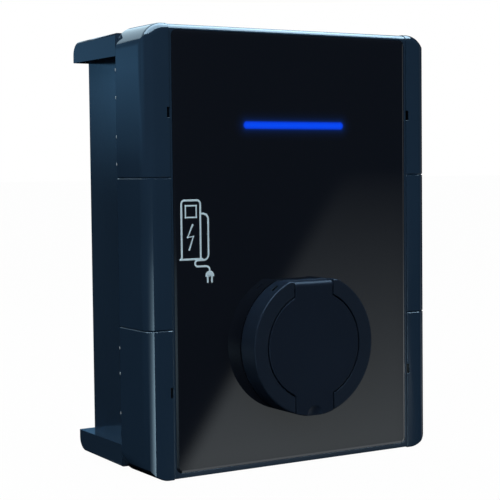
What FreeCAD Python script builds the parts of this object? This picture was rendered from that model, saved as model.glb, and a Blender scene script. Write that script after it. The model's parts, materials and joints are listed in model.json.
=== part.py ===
import FreeCAD, Part
import math
import os

from FreeCAD import Vector

# Wall-mounted charging box for electric vehicles, with a socket outlet under a hinged lid.
# X runs to the right seen from the front, Y from the front towards the wall, Z up.
# The origin is the middle of the wall face: the wall plane is Y = 0. Millimetres.

# Housing, driving sizes
body_width = 300.0
body_height = 390.0
body_depth = 142.0
wall = 3.0
corner_r = 20.0            # corners of the front part, seen from the front
side_edge_r = 11.0         # upright edges between front and sides
top_edge_r = 7.0           # rounding of the front's outline, upper half
bottom_edge_r = 1.0        # and lower half
strip_depth = 53.0         # from the front back to the rear edge of the side strips
strip_wall = 3.0
strip_face = 24.3          # width of a side strip on the front
strip_proud = 0.6          # strips stand this much above the frame beside them
seam_gap = 0.8             # visible gap between neighbouring strips
seam_chamfer = 0.5         # on the strips' ends at these gaps
fit_gap = 0.3              # strips to the body under them
upper_strip_length = 130.8
lower_strip_length = 129.2
cover_split = 30.0         # from the front back to the joint of cover and rear housing
split_gap = 0.5

# Rear housing
rear_step = 5.2            # flanges lie this much inside the front part, top and bottom
flange_height = 20.0
recess_depth = 16.0        # recessed side walls between the flanges
rear_edge_r = 12.0
flange_end_r = 2.0
flange_draft = 1.5         # flanges grow thinner by this towards the wall
back_pocket = 1.5
back_rim = 14.0
screw_inset_x = 38.0       # wall screws from the sides, and from top and bottom
screw_inset_z = 30.0
screw_hole_r = 3.5
screw_pad_r = 11.0

# Glossy panel and light bar
frame_side = 2.6           # frame between a side strip and the panel
frame_top = 5.8
frame_bottom = 5.3
panel_thickness = 3.0
panel_corner_r = 5.0
panel_bevel = 2.0          # shallow bevel round the panel's front
panel_bevel_depth = 0.8
panel_gap = 0.3
light_half_length = 53.0
light_half_height = 3.3
light_drop = 85.8          # from the top of the housing
light_lip = 1.5

# Side strip details
pry_slot_height = 9.0
pry_slot_width = 2.6
pry_slot_depth = 1.8
pry_slot_inset = 75.5      # from the top, and from the bottom
lug_height = 5.0
lug_reach = 4.0
lug_thickness = 1.6
upper_lug_drops = (37.0, 61.0, 95.0, 119.0)     # from the top of the housing
middle_lug_z = (34.0, 0.0, -38.0)
lower_lug_rises = (110.5, 88.0, 53.0, 35.0)     # from its bottom

# Socket outlet
socket_x = 4.5
socket_rise = 109.0        # centre above the bottom of the housing
ring_r = 63.0
ring_stand = 23.0          # from the panel to the front of the ring
ring_flat = 57.8           # flat top of the ring, above the socket's centre
ring_edge_r = 1.6
ring_wall = 3.2
ring_hollow_top = 30.0     # the moulded-out back of the ring ends this far above the centre
ring_boss_r = 6.5
gasket_thickness = 1.0
tube_r = 41.5
collar_wall = 2.4          # collar of the ring round the sleeve
sleeve_flange_reach = 4.5  # outside the sleeve
sleeve_flange = 2.0
tube_wall = 5.5
tube_depth = 25.0          # behind the front of the panel
pocket_r = 49.1
pocket_half_width = 21.0
pocket_depth = 5.8
lid_gap = 1.0
lid_thickness = 5.4
lid_draft = 1.4            # the lid's round edge draws in by this towards its back
lid_chamfer = 0.7
thumb_dish_r = 17.0
thumb_dish_depth = 2.4
hinge_r = 4.9
hinge_gap = 0.8
hinge_drop = 5.2           # hinge axis below the flat top
pin_r = 2.0
run_gap = 0.05
pin_half_length = 31.0
seal_from_mouth = 1.0      # the lid's seal on the sleeve's end
seal_from_edge = 1.0
seal_height = 2.2
seal_rib = 2.0
soft_gap = 0.3
spring_room_r = 4.0
spring_room_length = 14.0
spring_r = 3.1
spring_wire = 0.8          # square wire
spring_turns = 5
spring_pitch = 1.5
shroud_gap = 10.0          # round the contact carrier, for the plug's shroud
contact_rim = 9.0          # power contacts from the carrier's outside
pilot_rim = 11.5
pilot_half = 8.0
core_height = 16.0
insert_base = 5.0
power_contact_r = 4.0
power_hole_r = 3.0
pilot_contact_r = 2.4
pilot_hole_r = 1.5
contact_back = 14.0
contact_bore = 22.0
contact_slit = 12.0
wire_hole_depth = 10.0
lock_pin_r = 3.0
lock_travel = 7.0
lock_depth = 18.0          # lock pin axis behind the front of the panel
lock_box_height = 26.0
lock_collar = 3.0
lock_collar_r = 4.5

# Fasteners
ring_screw_pitch_r = 54.0
ring_screw_r = 2.0
insert_screw_r = 1.5
insert_screw_grip = 8.0
head_ratio = 1.8
cover_screw_rise = 45.0    # from top and bottom
cover_screw_inset = 13.0   # from the side of the housing
cover_boss_r = 5.5
cover_screw_r = 2.0
cover_head_height = 3.0
rail_screw_r = 2.0
sensor_screw_r = 1.5
board_screw_r = 1.3
clamp_screw_r = 2.6
screw_play = 0.02

# Lock actuator
lock_box_half = 20.0
lock_ear_half = 27.0
lock_ear = 4.0
lock_pad_half = 9.0
lock_pad_reach = 6.0

# Slot for a lifting tool in the round side of the ring, beside the hinge
tool_slot_turn = 124.0     # degrees from the ring's right
tool_slot_front = 8.5      # from the front of the ring
tool_slot_width = 3.0
tool_slot_length = 6.8
tool_slot_depth = 4.0

# Seal between cover and rear housing
seal_inset = 4.4
seal_width = 1.4
seal_groove = 1.6

# Rail and devices on it
rail_z = 62.0
rail_clear = 15.0          # from the side walls
rail_pad_half = 8.0
rail_pad_half_h = 12.0
rail_width = 35.0
rail_web = 27.0
rail_height = 7.5
rail_sheet = 1.0
rail_pad = 4.0
device_height = 88.0
device_nose = 45.0
device_depth = 58.0        # from the rail's front to the nose
device_shoulder = 44.0
module = 17.5
module_play = 0.4
meter_module_count = 4
contactor_module_count = 3
supply_module_count = 2
first_device_inset = 12.0  # from the rail's left end
device_gap = 2.0
terminal_count = 5
terminal_pitch = 8.0
terminal_half = 26.0
terminal_nose = 38.0
terminal_top_half = 14.0

# Boards behind the panel
board_sheet = 1.6
led_post_height = 2.6
board_post_height = 7.0
antenna_post_height = 4.0
board_half_w = 76.0
board_clear = 11.5         # above the lock actuator
board_height = 92.0
board_hole_inset = 5.0
antenna_drop = 45.0        # from the top of the housing
antenna_half_w = 34.0
antenna_half_h = 18.0
led_count = 12
led_board_half = 6.0
led_board_reach = 11.0     # past the ends of the light bar
led_post_reach = 7.0
# On the controller board: x and z from its middle, width, height and thickness
component_boxes = ((-48.0, -8.0, 24.0, 28.0, 15.0), (3.0, 3.0, 22.0, 22.0, 3.0),
                   (46.0, 14.0, 32.0, 12.0, 9.0))
header_count = 4
header_start = (-48.0, 29.0)
header_pitch = 22.0
header_size = (16.0, 10.0, 10.0)
capacitor_count = 3
capacitor_start = (34.0, -20.0)
capacitor_pitch = 12.0
capacitor_r = 4.0
capacitor_height = 12.0

# Residual-current sensor on the back wall
sensor_x = -70.0
sensor_z = -70.0
sensor_r = 24.0
sensor_bore = 12.0
sensor_width = 22.0
sensor_back = -10.0
sensor_foot = 4.0
sensor_foot_half = 7.0
sensor_foot_reach = 11.0   # past the ring on each side
sensor_screw_reach = 6.0
sensor_screw_grip = 5.0

# Cable entries
supply_entry_x = -78.0
supply_bore_r = 9.0
supply_hole_r = 15.0
data_entry_x = -30.0
data_bore_r = 3.5
data_hole_r = 8.0
entry_y = -46.0
grommet_lip = 3.0
grommet_rim = 1.8
grommet_seat = 0.8         # flat seat let into the drafted underside
grommet_play = 0.6

half_w = body_width / 2
half_h = body_height / 2
front_y = -body_depth
strip_rear_y = front_y + strip_depth
split_y = front_y + cover_split
under_strip = strip_wall + fit_gap
inner = under_strip + wall
strip_edge_x = half_w - strip_face
upper_seam_z = half_h - upper_strip_length
lower_seam_z = lower_strip_length - half_h
panel_width = 2 * (strip_edge_x - frame_side)
panel_top_z = half_h - frame_top
panel_bottom_z = frame_bottom - half_h
light_z = half_h - light_drop
socket_z = socket_rise - half_h
antenna_z = half_h - antenna_drop
rear_half_h = half_h - rear_step
recess_half_h = rear_half_h - flange_height
recess_x = half_w - recess_depth
panel_back_y = front_y + panel_thickness
cover_inner_y = panel_back_y + wall
ring_front_y = front_y - ring_stand
ring_back_y = front_y - gasket_thickness
pocket_y = ring_front_y + pocket_depth
tube_back_y = front_y + tube_depth
hinge_y = ring_front_y + hinge_r
hinge_z = socket_z + ring_flat - hinge_drop
lid_r = pocket_r - lid_gap
lid_half_width = pocket_half_width - lid_gap
lid_back_y = ring_front_y + lid_thickness
mouth_r = tube_r - tube_wall
sleeve_flange_r = tube_r + sleeve_flange_reach
seal_inner_r = mouth_r + seal_from_mouth
seal_outer_r = tube_r - seal_from_edge
core_r = mouth_r - shroud_gap
rail_front_y = -wall - back_pocket - rail_pad - rail_height
seat_y = lid_back_y + seal_height + soft_gap
lock_y = front_y + lock_depth
lock_pad_z = socket_z + tube_r + 3.0
led_board_y = cover_inner_y + led_post_height
board_y = cover_inner_y + board_post_height
antenna_y = cover_inner_y + antenna_post_height
back_y = -wall - back_pocket
rear_inner_h = rear_half_h - flange_draft - wall
rail_length = 2 * (recess_x - wall - rail_clear)
rail_screw_x = rail_length / 2 - 14.0
board_z0 = lock_pad_z + lock_box_height + board_clear
board_z1 = board_z0 + board_height
board_middle_z = (board_z0 + board_z1) / 2
sleeve_r = tube_r + run_gap

X_AXIS = Vector(1, 0, 0)
Y_AXIS = Vector(0, 1, 0)
Z_AXIS = Vector(0, 0, 1)


def block(x0, x1, y0, y1, z0, z1):
    return Part.makeBox(x1 - x0, y1 - y0, z1 - z0, Vector(x0, y0, z0))


def rod(axis, radius, length, x, y, z):
    return Part.makeCylinder(radius, length, Vector(x, y, z), axis)


def rod_y(radius, y0, y1, x, z):
    return rod(Y_AXIS, radius, y1 - y0, x, y0, z)


def tube_y(outer, bore, y0, y1, x, z):
    return rod_y(outer, y0, y1, x, z).cut(rod_y(bore, y0 - 1, y1 + 1, x, z))


def edges_along(shape, axis, test):
    found = []
    for edge in shape.Edges:
        if len(edge.Vertexes) != 2:
            continue
        run = edge.Vertexes[1].Point - edge.Vertexes[0].Point
        if run.Length > 1e-6 and abs(abs(run.normalize().dot(axis)) - 1) < 1e-6:
            if test(edge.CenterOfMass):
                found.append(edge)
    return found


def rounded_plate(width, height, radius, y0, y1, x=0.0, z=0.0):
    plate = block(x - width / 2, x + width / 2, y0, y1, z - height / 2, z + height / 2)
    return plate.makeFillet(radius, edges_along(plate, Y_AXIS, lambda c: True))


def solid_of(shape):
    return shape.Solids[0] if len(shape.Solids) == 1 else Part.makeCompound(shape.Solids)


def fuse(shapes):
    whole = shapes[0]
    if len(shapes) > 1:
        whole = whole.multiFuse(shapes[1:])
    return whole.removeSplitter()


def mirrored(shape):
    return shape.mirror(Vector(0, 0, 0), X_AXIS)


# Outer form of the front part

def skin(inset, rear_y):
    """Front part drawn in by inset: the front view, rounded all round its front, within a plan."""
    width = body_width - 2 * inset
    height = body_height - 2 * inset
    y0 = front_y + inset
    halves = []
    for edge_r, z0, z1 in ((top_edge_r, 0, height), (bottom_edge_r, -height, 0)):
        view = rounded_plate(width, height, corner_r - inset, y0, rear_y)
        rim = [e for e in view.Edges if e.BoundBox.YMax < y0 + 0.01]
        view = view.makeFillet(max(edge_r - inset, 0.8), rim)
        halves.append(view.common(block(-width, width, y0 - 1, rear_y + 1, z0, z1)))
    front_view = fuse(halves)
    plan = block(-width / 2, width / 2, y0, rear_y, -height, height)
    plan_r = max(side_edge_r - inset, 0.8)
    plan = plan.makeFillet(plan_r, edges_along(plan, Z_AXIS, lambda c: c.y < y0 + 0.1))
    return front_view.common(plan)


def body_core(rear_y):
    """What the side strips sit on: drawn in under the strips, nearly flush between them."""
    middle = skin(strip_proud, rear_y)
    keep = strip_edge_x - fit_gap
    middle = middle.common(block(-keep, keep, front_y - 1, rear_y, -half_h, half_h))
    return skin(under_strip, rear_y).fuse(middle)


def inner_hollow(y0, y1):
    return rounded_plate(body_width - 2 * inner, body_height - 2 * inner, corner_r - inner, y0, y1)


# Rear housing

def flange_form():
    """Side view of the rear block: drafted top and bottom, rounded towards the wall."""
    rear_h = rear_half_h - flange_draft
    corners = [Vector(0, strip_rear_y - wall, rear_half_h), Vector(0, 0, rear_h),
               Vector(0, 0, -rear_h), Vector(0, strip_rear_y - wall, -rear_half_h)]
    face = Part.Face(Part.makePolygon(corners + [corners[0]]))
    form = face.extrude(Vector(body_width, 0, 0))
    form.translate(Vector(-half_w, 0, 0))
    form = form.makeFillet(rear_edge_r, edges_along(form, X_AXIS, lambda c: c.y > -0.1))
    ends = [e for e in form.Edges if all(abs(abs(v.X) - half_w) < 0.01 for v in e.Vertexes)
            and e.CenterOfMass.y > strip_rear_y - wall + 0.1]
    return form.makeFillet(flange_end_r, ends)


def side_recess(side):
    outer = half_w + 1
    return block(min(side * recess_x, side * outer), max(side * recess_x, side * outer),
                 strip_rear_y, 1, -recess_half_h, recess_half_h)


def screw_places():
    x = half_w - screw_inset_x
    z = half_h - screw_inset_z
    return [(sx * x, sz * z) for sx in (-1, 1) for sz in (-1, 1)]


def cover_screw_places():
    x = half_w - cover_screw_inset
    high = half_h - cover_screw_rise
    return [(sx * x, z) for sx in (-1, 1) for z in (high, 0.0, -high)]


def boss_web(x, z, y0, y1):
    """Web that ties a boss to the side wall beside it."""
    side = 1 if x > 0 else -1
    low, high = sorted((x, side * (half_w - inner + 0.5)))
    return block(low, high, y0, y1, z - 2, z + 2)


def back_hollows():
    """Inside of the rear part: the main room and the two flanges' ends."""
    room = block(-recess_x + wall, recess_x - wall, split_y - 1, back_y, -rear_inner_h, rear_inner_h)
    ends = []
    z0 = recess_half_h + wall
    for sz in (-1, 1):
        low, high = sorted((sz * z0, sz * rear_inner_h))
        ends.append(block(-half_w + wall, half_w - wall, strip_rear_y + wall,
                          back_y - rear_edge_r / 2, low, high))
    return [room] + ends


def rear_pocket():
    """Shallow pocket in the wall face that leaves a rim and the screw pads."""
    width = 2 * (recess_x - back_rim)
    height = 2 * (rear_half_h - flange_draft - rear_edge_r - back_rim / 2)
    pocket = rounded_plate(width, height, 6.0, -back_pocket, 1)
    for x, z in screw_places():
        pocket = pocket.cut(rod_y(screw_pad_r, -back_pocket - 1, 2, x, z))
    rib = 4.0
    for x in (-width / 6, width / 6):
        pocket = pocket.cut(block(x - rib / 2, x + rib / 2, -back_pocket - 1, 2, -height, height))
    return pocket


def rail_pads():
    pads = []
    for sx in (-1, 1):
        x = sx * rail_screw_x
        pads.append(block(x - rail_pad_half, x + rail_pad_half, back_y - rail_pad, -wall,
                          rail_z - rail_pad_half_h, rail_z + rail_pad_half_h))
    return pads


def seal_ring(width_inset, ring_width, y0, y1):
    outer = rounded_plate(body_width - 2 * width_inset, body_height - 2 * width_inset,
                          corner_r - width_inset, y0, y1)
    step = width_inset + ring_width
    hole = rounded_plate(body_width - 2 * step, body_height - 2 * step, corner_r - step, y0 - 1, y1 + 1)
    return outer.cut(hole)


def rear_shell():
    rear = flange_form()
    for side in (-1, 1):
        rear = rear.cut(side_recess(side))
    collar_y = strip_rear_y - wall
    front_zone = body_core(strip_rear_y).common(
        block(-half_w, half_w, split_y, strip_rear_y, -half_h, half_h))
    shell = front_zone.fuse(rear.common(block(-half_w, half_w, strip_rear_y, 0, -half_h, half_h)))
    shell = shell.cut(inner_hollow(split_y - 1, collar_y))
    for hollow in back_hollows():
        shell = shell.cut(hollow)
    shell = shell.cut(rear_pocket())
    adds = rail_pads()
    for x, z in screw_places():
        adds.append(rod_y(screw_pad_r - 2, back_y - 3, -back_pocket, x, z))
    for x, z in cover_screw_places():
        adds.append(rod_y(cover_boss_r, split_y, collar_y + 0.5, x, z))
        adds.append(boss_web(x, z, split_y + 4, collar_y + 0.5))
    for x, y, z in sensor_posts():
        adds.append(rod_y(4.0, y, -wall, x, z))
    shell = fuse([shell] + adds)
    for x, z in screw_places():
        shell = shell.cut(rod_y(screw_hole_r, -20, 1, x, z))
    for x, z in cover_screw_places():
        shell = shell.cut(rod_y(cover_screw_r, split_y, collar_y - 1, x, z))
    for sx in (-1, 1):
        shell = shell.cut(rod_y(rail_screw_r, back_y - rail_pad - 1, -wall + 0.5, sx * rail_screw_x, rail_z))
    for x, y, z in sensor_posts():
        shell = shell.cut(rod_y(sensor_screw_r, y - 1, -wall, x, z))
    shell = shell.cut(seal_ring(seal_inset, seal_width + 0.2, split_y - 1, split_y + seal_groove))
    for x, radius in ((supply_entry_x, supply_hole_r), (data_entry_x, data_hole_r)):
        shell = shell.cut(rod(Z_AXIS, radius, half_h - rear_inner_h + 2 * wall, x, entry_y, -half_h - wall))
        lip = radius + grommet_lip + grommet_play
        shell = shell.cut(rod(Z_AXIS, lip, rear_step + wall, x, entry_y, entry_seat_z() - rear_step - wall))
    return shell


def entry_seat_z():
    """Height of the flat seats round the cable entries in the drafted underside."""
    share = (entry_y - strip_rear_y) / -strip_rear_y
    return -(rear_half_h - flange_draft * share) + grommet_seat


def cover_seal():
    inset = seal_inset + 0.1
    return seal_ring(inset, seal_width, split_y - split_gap + 0.05, split_y + seal_groove - 0.05)


# Front cover and panel

def ring_screw_places():
    spots = []
    for turn in (45, 135, 225, 315):
        a = math.radians(turn)
        x = socket_x + ring_screw_pitch_r * math.cos(a)
        spots.append((x, socket_z + ring_screw_pitch_r * math.sin(a)))
    return spots


def stadium(half_length, half_height, y0, y1, z):
    plate = block(-half_length, half_length, y0, y1, z - half_height, z + half_height)
    return plate.makeFillet(half_height - 0.05, edges_along(plate, Y_AXIS, lambda c: True))


def front_cover():
    whole = body_core(split_y - split_gap)
    cover = whole.cut(inner_hollow(cover_inner_y, split_y))
    height = panel_top_z - panel_bottom_z + 2 * panel_gap
    middle = (panel_top_z + panel_bottom_z) / 2
    recess = rounded_plate(panel_width + 2 * panel_gap, height, panel_corner_r + panel_gap,
                           front_y - 2, panel_back_y, 0, middle)
    cover = cover.cut(recess)
    adds = []
    for x, z in cover_screw_places():
        adds.append(rod_y(cover_boss_r, cover_inner_y - 0.5, split_y - split_gap, x, z))
        adds.append(boss_web(x, z, cover_inner_y + wall, split_y - split_gap))
    for x, z in led_posts():
        adds.append(rod_y(3.0, cover_inner_y - 0.5, led_board_y, x, z))
    for x, z in board_posts():
        adds.append(rod_y(3.5, cover_inner_y - 0.5, board_y, x, z))
    for x, z in antenna_posts():
        adds.append(rod_y(3.0, cover_inner_y - 0.5, antenna_y, x, z))
    cover = fuse([cover] + adds)
    cover = cover.cut(rod_y(tube_r + 1, front_y - 5, cover_inner_y + 3, socket_x, socket_z))
    for x, z in ring_screw_places():
        cover = cover.cut(rod_y(ring_screw_r + 0.2, front_y - 5, cover_inner_y + 1, x, z))
    cover = cover.cut(stadium(light_half_length + light_lip, light_half_height + light_lip,
                              front_y - 5, cover_inner_y + 1, light_z))
    for x, z in cover_screw_places():
        cover = cover.cut(rod_y(cover_screw_r + 0.2, front_y - 5, split_y, x, z))
        cover = cover.cut(rod_y(cover_screw_r * head_ratio + 0.3, front_y - 5,
                                front_y + under_strip + cover_head_height, x, z))
    for x, z in led_posts():
        cover = cover.cut(rod_y(board_screw_r, cover_inner_y, led_board_y + 1, x, z))
    for x, z in board_posts():
        cover = cover.cut(rod_y(board_screw_r, cover_inner_y, board_y + 1, x, z))
    for x, z in antenna_posts():
        cover = cover.cut(rod_y(board_screw_r, cover_inner_y, antenna_y + 1, x, z))
    return cover


def front_panel():
    height = panel_top_z - panel_bottom_z
    middle = (panel_top_z + panel_bottom_z) / 2
    panel = rounded_plate(panel_width, height, panel_corner_r, front_y + panel_bevel_depth, panel_back_y,
                          0, middle)
    face = rounded_plate(panel_width - 2 * panel_bevel, height - 2 * panel_bevel,
                         panel_corner_r - panel_bevel, front_y, front_y + 1, 0, middle)
    front_wires = [f.OuterWire for f in face.Faces if f.BoundBox.YMax < front_y + 0.01]
    back_wires = [f.OuterWire for f in panel.Faces if f.BoundBox.YMax < front_y + panel_bevel_depth + 0.01]
    panel = fuse([panel, Part.makeLoft(front_wires + back_wires, True, True)])
    window = stadium(light_half_length + 0.1, light_half_height + 0.1, front_y - 1, panel_back_y + 1, light_z)
    panel = panel.cut(window)
    panel = panel.cut(rod_y(tube_r + 1, front_y - 1, panel_back_y + 1, socket_x, socket_z))
    for x, z in ring_screw_places():
        panel = panel.cut(rod_y(ring_screw_r + 0.2, front_y - 1, panel_back_y + 1, x, z))
    return panel


def light_bar():
    lens = stadium(light_half_length, light_half_height, front_y, panel_back_y + 0.5, light_z)
    lip = stadium(light_half_length + light_lip - 0.1, light_half_height + light_lip - 0.1,
                  panel_back_y, cover_inner_y, light_z)
    return fuse([lens, lip])


# Side strips

def strip_region(side, z0, z1):
    inner_x = strip_edge_x
    low, high = sorted((side * inner_x, side * (half_w + 1)))
    return block(low, high, front_y - 1, strip_rear_y, z0, z1)


def strip_blank(z0, z1):
    """Right-hand strip between two heights, an L seen from above, closed at a rounded end."""
    outer = skin(0, strip_rear_y).common(strip_region(1, z0, z1))
    ends = [e for e in outer.Edges for z in (z0, z1)
            if e.BoundBox.ZMin > z - 0.01 and e.BoundBox.ZMax < z + 0.01
            and e.BoundBox.YMin < strip_rear_y - 1 and e.BoundBox.XMax > strip_edge_x + 0.1]
    outer = outer.makeChamfer(seam_chamfer, ends)
    return outer.cut(skin(strip_wall, strip_rear_y + 1))


def with_lugs(strip, heights):
    """Clip lugs hook behind the shoulder of the rear housing."""
    lugs = []
    for z in heights:
        hook = block(half_w - strip_wall - lug_reach + 1, half_w - 0.3, strip_rear_y + 0.2,
                     strip_rear_y + 0.2 + lug_thickness, z - lug_height / 2, z + lug_height / 2)
        stem = block(half_w - strip_wall + 0.4, half_w - 0.3, strip_rear_y - 1,
                     strip_rear_y + 0.2 + lug_thickness, z - lug_height / 2, z + lug_height / 2)
        lugs.extend([hook, stem])
    return fuse([strip] + lugs)


def with_pry_slot(strip, z):
    slot = block(strip_edge_x - 1, strip_edge_x + pry_slot_width, front_y - 1, front_y + pry_slot_depth,
                 z - pry_slot_height / 2, z + pry_slot_height / 2)
    return strip.cut(slot)


def side_strips():
    upper = strip_blank(upper_seam_z + seam_gap / 2, half_h + 1)
    slot_z = half_h - pry_slot_inset
    upper = with_pry_slot(with_lugs(upper, [half_h - drop for drop in upper_lug_drops]), slot_z)
    middle = strip_blank(lower_seam_z + seam_gap / 2, upper_seam_z - seam_gap / 2)
    middle = with_lugs(middle, middle_lug_z)
    lower = strip_blank(-half_h - 1, lower_seam_z - seam_gap / 2)
    lower = with_pry_slot(with_lugs(lower, [rise - half_h for rise in lower_lug_rises]), -slot_z)
    strips = {}
    for name, strip in (("upper", upper), ("middle", middle), ("lower", lower)):
        strips["right_strip_" + name] = strip
        strips["left_strip_" + name] = mirrored(strip)
    return strips


# Socket ring, lid and hinge

def ring_outline(radius, flat, y0, y1):
    disc = rod_y(radius, y0, y1, socket_x, socket_z)
    top = block(socket_x - radius, socket_x + radius, y0 - 1, y1 + 1, socket_z + flat, socket_z + 2 * radius)
    return disc.cut(top)


def keyhole(radius, half_width, top_z, y0, y1):
    """Round plate with a tab up to the hinge and a tongue down past the ring."""
    disc = rod_y(radius, y0, y1, socket_x, socket_z)
    slot = block(socket_x - half_width, socket_x + half_width, y0, y1, socket_z - 2 * radius, top_z)
    return fuse([disc, slot])


def socket_ring():
    ring = ring_outline(ring_r, ring_flat, ring_front_y, ring_back_y)
    rim = [e for e in ring.Edges if abs(e.CenterOfMass.y - ring_front_y) < 0.01]
    ring = ring.makeFillet(ring_edge_r, rim)
    hollow = ring_outline(ring_r - ring_wall, ring_hollow_top, pocket_y + ring_wall, ring_back_y + 1)
    hollow = hollow.cut(rod_y(sleeve_r + collar_wall, pocket_y, ring_back_y + 2, socket_x, socket_z))
    for x, z in ring_screw_places():
        hollow = hollow.cut(rod_y(ring_boss_r, pocket_y, ring_back_y + 2, x, z))
    ring = ring.cut(hollow)
    ring = ring.cut(rod_y(sleeve_r, pocket_y - 1, ring_back_y + 1, socket_x, socket_z))
    flange_room = rod_y(sleeve_flange_r + run_gap, ring_back_y - sleeve_flange - run_gap, ring_back_y + 1,
                        socket_x, socket_z)
    ring = ring.cut(flange_room)
    ring = ring.cut(keyhole(pocket_r, pocket_half_width, hinge_z, ring_front_y - 1, pocket_y))
    x0 = socket_x - pocket_half_width
    x1 = socket_x + pocket_half_width
    barrel_room = rod(X_AXIS, hinge_r + hinge_gap, x1 - x0, x0, hinge_y, hinge_z)
    over = block(x0, x1, ring_front_y - 1, hinge_y + hinge_r + hinge_gap, hinge_z, socket_z + ring_flat + 1)
    ring = ring.cut(barrel_room.fuse(over))
    bore = rod(X_AXIS, pin_r + run_gap, 2 * pin_half_length, socket_x - pin_half_length, hinge_y, hinge_z)
    ring = ring.cut(bore)
    for x, z in ring_screw_places():
        ring = ring.cut(rod_y(ring_screw_r, ring_back_y - 8, ring_back_y + 1, x, z))
    y0 = ring_front_y + tool_slot_front
    slot = block(ring_r - tool_slot_depth, ring_r + 2, y0, y0 + tool_slot_width,
                 -tool_slot_length / 2, tool_slot_length / 2)
    slot.rotate(Vector(0, 0, 0), Y_AXIS, -tool_slot_turn)
    slot.translate(Vector(socket_x, 0, socket_z))
    return ring.cut(slot)


def socket_sleeve():
    """Guide sleeve for the plug, clamped by its flange between the ring and the gasket."""
    sleeve = rod_y(tube_r, seat_y, tube_back_y, socket_x, socket_z)
    flange = rod_y(sleeve_flange_r, ring_back_y - sleeve_flange, ring_back_y, socket_x, socket_z)
    lock_pad = block(socket_x - lock_pad_half, socket_x + lock_pad_half, lock_y - lock_pad_reach, tube_back_y,
                     socket_z + mouth_r, lock_pad_z)
    sleeve = fuse([sleeve, flange, lock_pad])
    sleeve = sleeve.cut(rod_y(mouth_r, seat_y - 1, tube_back_y + 1, socket_x, socket_z))
    for x, z in insert_screw_places():
        sleeve = sleeve.cut(rod_y(insert_screw_r, tube_back_y - insert_screw_grip - 1, tube_back_y + 1, x, z))
    return sleeve.cut(rod(Z_AXIS, lock_pin_r + run_gap, 20, socket_x, lock_y, socket_z + mouth_r - 4))


def insert_screw_places():
    spots = []
    for turn in (30, 150, 210, 330):
        a = math.radians(turn)
        r = (tube_r + mouth_r) / 2
        spots.append((socket_x + r * math.cos(a), socket_z + r * math.sin(a)))
    return spots


def socket_lid():
    centre = Vector(socket_x, ring_front_y, socket_z)
    disc = Part.makeCone(lid_r, lid_r - lid_draft, lid_thickness, centre, Y_AXIS)
    tab = block(socket_x - lid_half_width, socket_x + lid_half_width, ring_front_y, lid_back_y,
                socket_z - ring_r, hinge_z)
    plate = fuse([disc, tab]).common(rod_y(ring_r, ring_front_y - 1, lid_back_y + 1, socket_x, socket_z))
    rim = [e for e in plate.Edges if abs(e.CenterOfMass.y - ring_front_y) < 0.01
           and e.CenterOfMass.z < hinge_z - 1]
    plate = plate.makeChamfer(lid_chamfer, rim)
    barrel = rod(X_AXIS, hinge_r, 2 * lid_half_width, socket_x - lid_half_width, hinge_y, hinge_z)
    lid = fuse([plate, barrel])
    rib = tube_y(seal_inner_r, seal_inner_r - seal_rib, lid_back_y - 0.5, lid_back_y + seal_height,
                 socket_x, socket_z)
    lid = fuse([lid, rib])
    lid = lid.cut(thumb_recess())
    lid = lid.cut(rod(X_AXIS, pin_r + run_gap, 2 * ring_r, socket_x - ring_r, hinge_y, hinge_z))
    x0 = socket_x - lid_half_width - 1
    return lid.cut(rod(X_AXIS, spring_room_r, spring_room_length + 1, x0, hinge_y, hinge_z))


def thumb_recess():
    """Dish in the tongue, deepest at the ring's lower edge."""
    centre_y = ring_front_y + thumb_dish_depth - thumb_dish_r
    return Part.makeSphere(thumb_dish_r, Vector(socket_x, centre_y, socket_z - ring_r + 1.0))


def hinge_pin():
    return rod(X_AXIS, pin_r, 2 * pin_half_length, socket_x - pin_half_length, hinge_y, hinge_z)


def lid_spring():
    length = spring_turns * spring_pitch
    helix = Part.makeHelix(spring_pitch, length, spring_r)
    w = spring_wire / 2
    corners = [Vector(spring_r + a * w, 0, b * w) for a, b in ((-1, -1), (1, -1), (1, 1), (-1, 1))]
    start = Part.makePolygon(corners + [corners[0]])
    coil = Part.Wire(helix).makePipeShell([start], True, True)
    coil.rotate(Vector(0, 0, 0), Vector(0, 1, 0), 90)
    x0 = socket_x - lid_half_width + (spring_room_length - length) / 2
    coil.translate(Vector(x0, hinge_y, hinge_z))
    return coil


def lid_seal():
    return tube_y(seal_outer_r, seal_inner_r, lid_back_y, lid_back_y + seal_height, socket_x, socket_z)


def socket_gasket():
    gasket = ring_outline(ring_r - 1.5, ring_flat - 1.5, ring_back_y, front_y)
    gasket = gasket.cut(rod_y(tube_r + 1, ring_back_y - 1, front_y + 1, socket_x, socket_z))
    for x, z in ring_screw_places():
        gasket = gasket.cut(rod_y(ring_screw_r + 0.2, ring_back_y - 1, front_y + 1, x, z))
    return gasket


def screw_y(radius, head_y, tip_y, x, z):
    """Screw along Y: the head's underside at head_y, the tip at tip_y, with a cross recess."""
    out = 1 if head_y > tip_y else -1
    head_height = radius * 1.3
    y0, y1 = sorted((head_y, head_y + out * head_height))
    head = rod_y(radius * head_ratio, y0, y1, x, z)
    s0, s1 = sorted((head_y, tip_y))
    shank = rod_y(radius, s0, s1, x, z)
    screw = fuse([head, shank])
    slot = radius * 0.3
    reach = radius * 1.1
    top = head_y + out * head_height
    r0, r1 = sorted((top + out * 0.1, top - out * head_height * 0.5))
    screw = screw.cut(block(x - reach, x + reach, r0, r1, z - slot, z + slot))
    return screw.cut(block(x - slot, x + slot, r0, r1, z - reach, z + reach))


def group(shapes):
    return Part.makeCompound(shapes)


def socket_screws():
    tip = ring_back_y - 6
    return group([screw_y(ring_screw_r - screw_play, cover_inner_y, tip, x, z)
                  for x, z in ring_screw_places()])


def insert_screws():
    back = tube_back_y + insert_base
    tip = tube_back_y - insert_screw_grip
    return group([screw_y(insert_screw_r - screw_play, back, tip, x, z) for x, z in insert_screw_places()])


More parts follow.
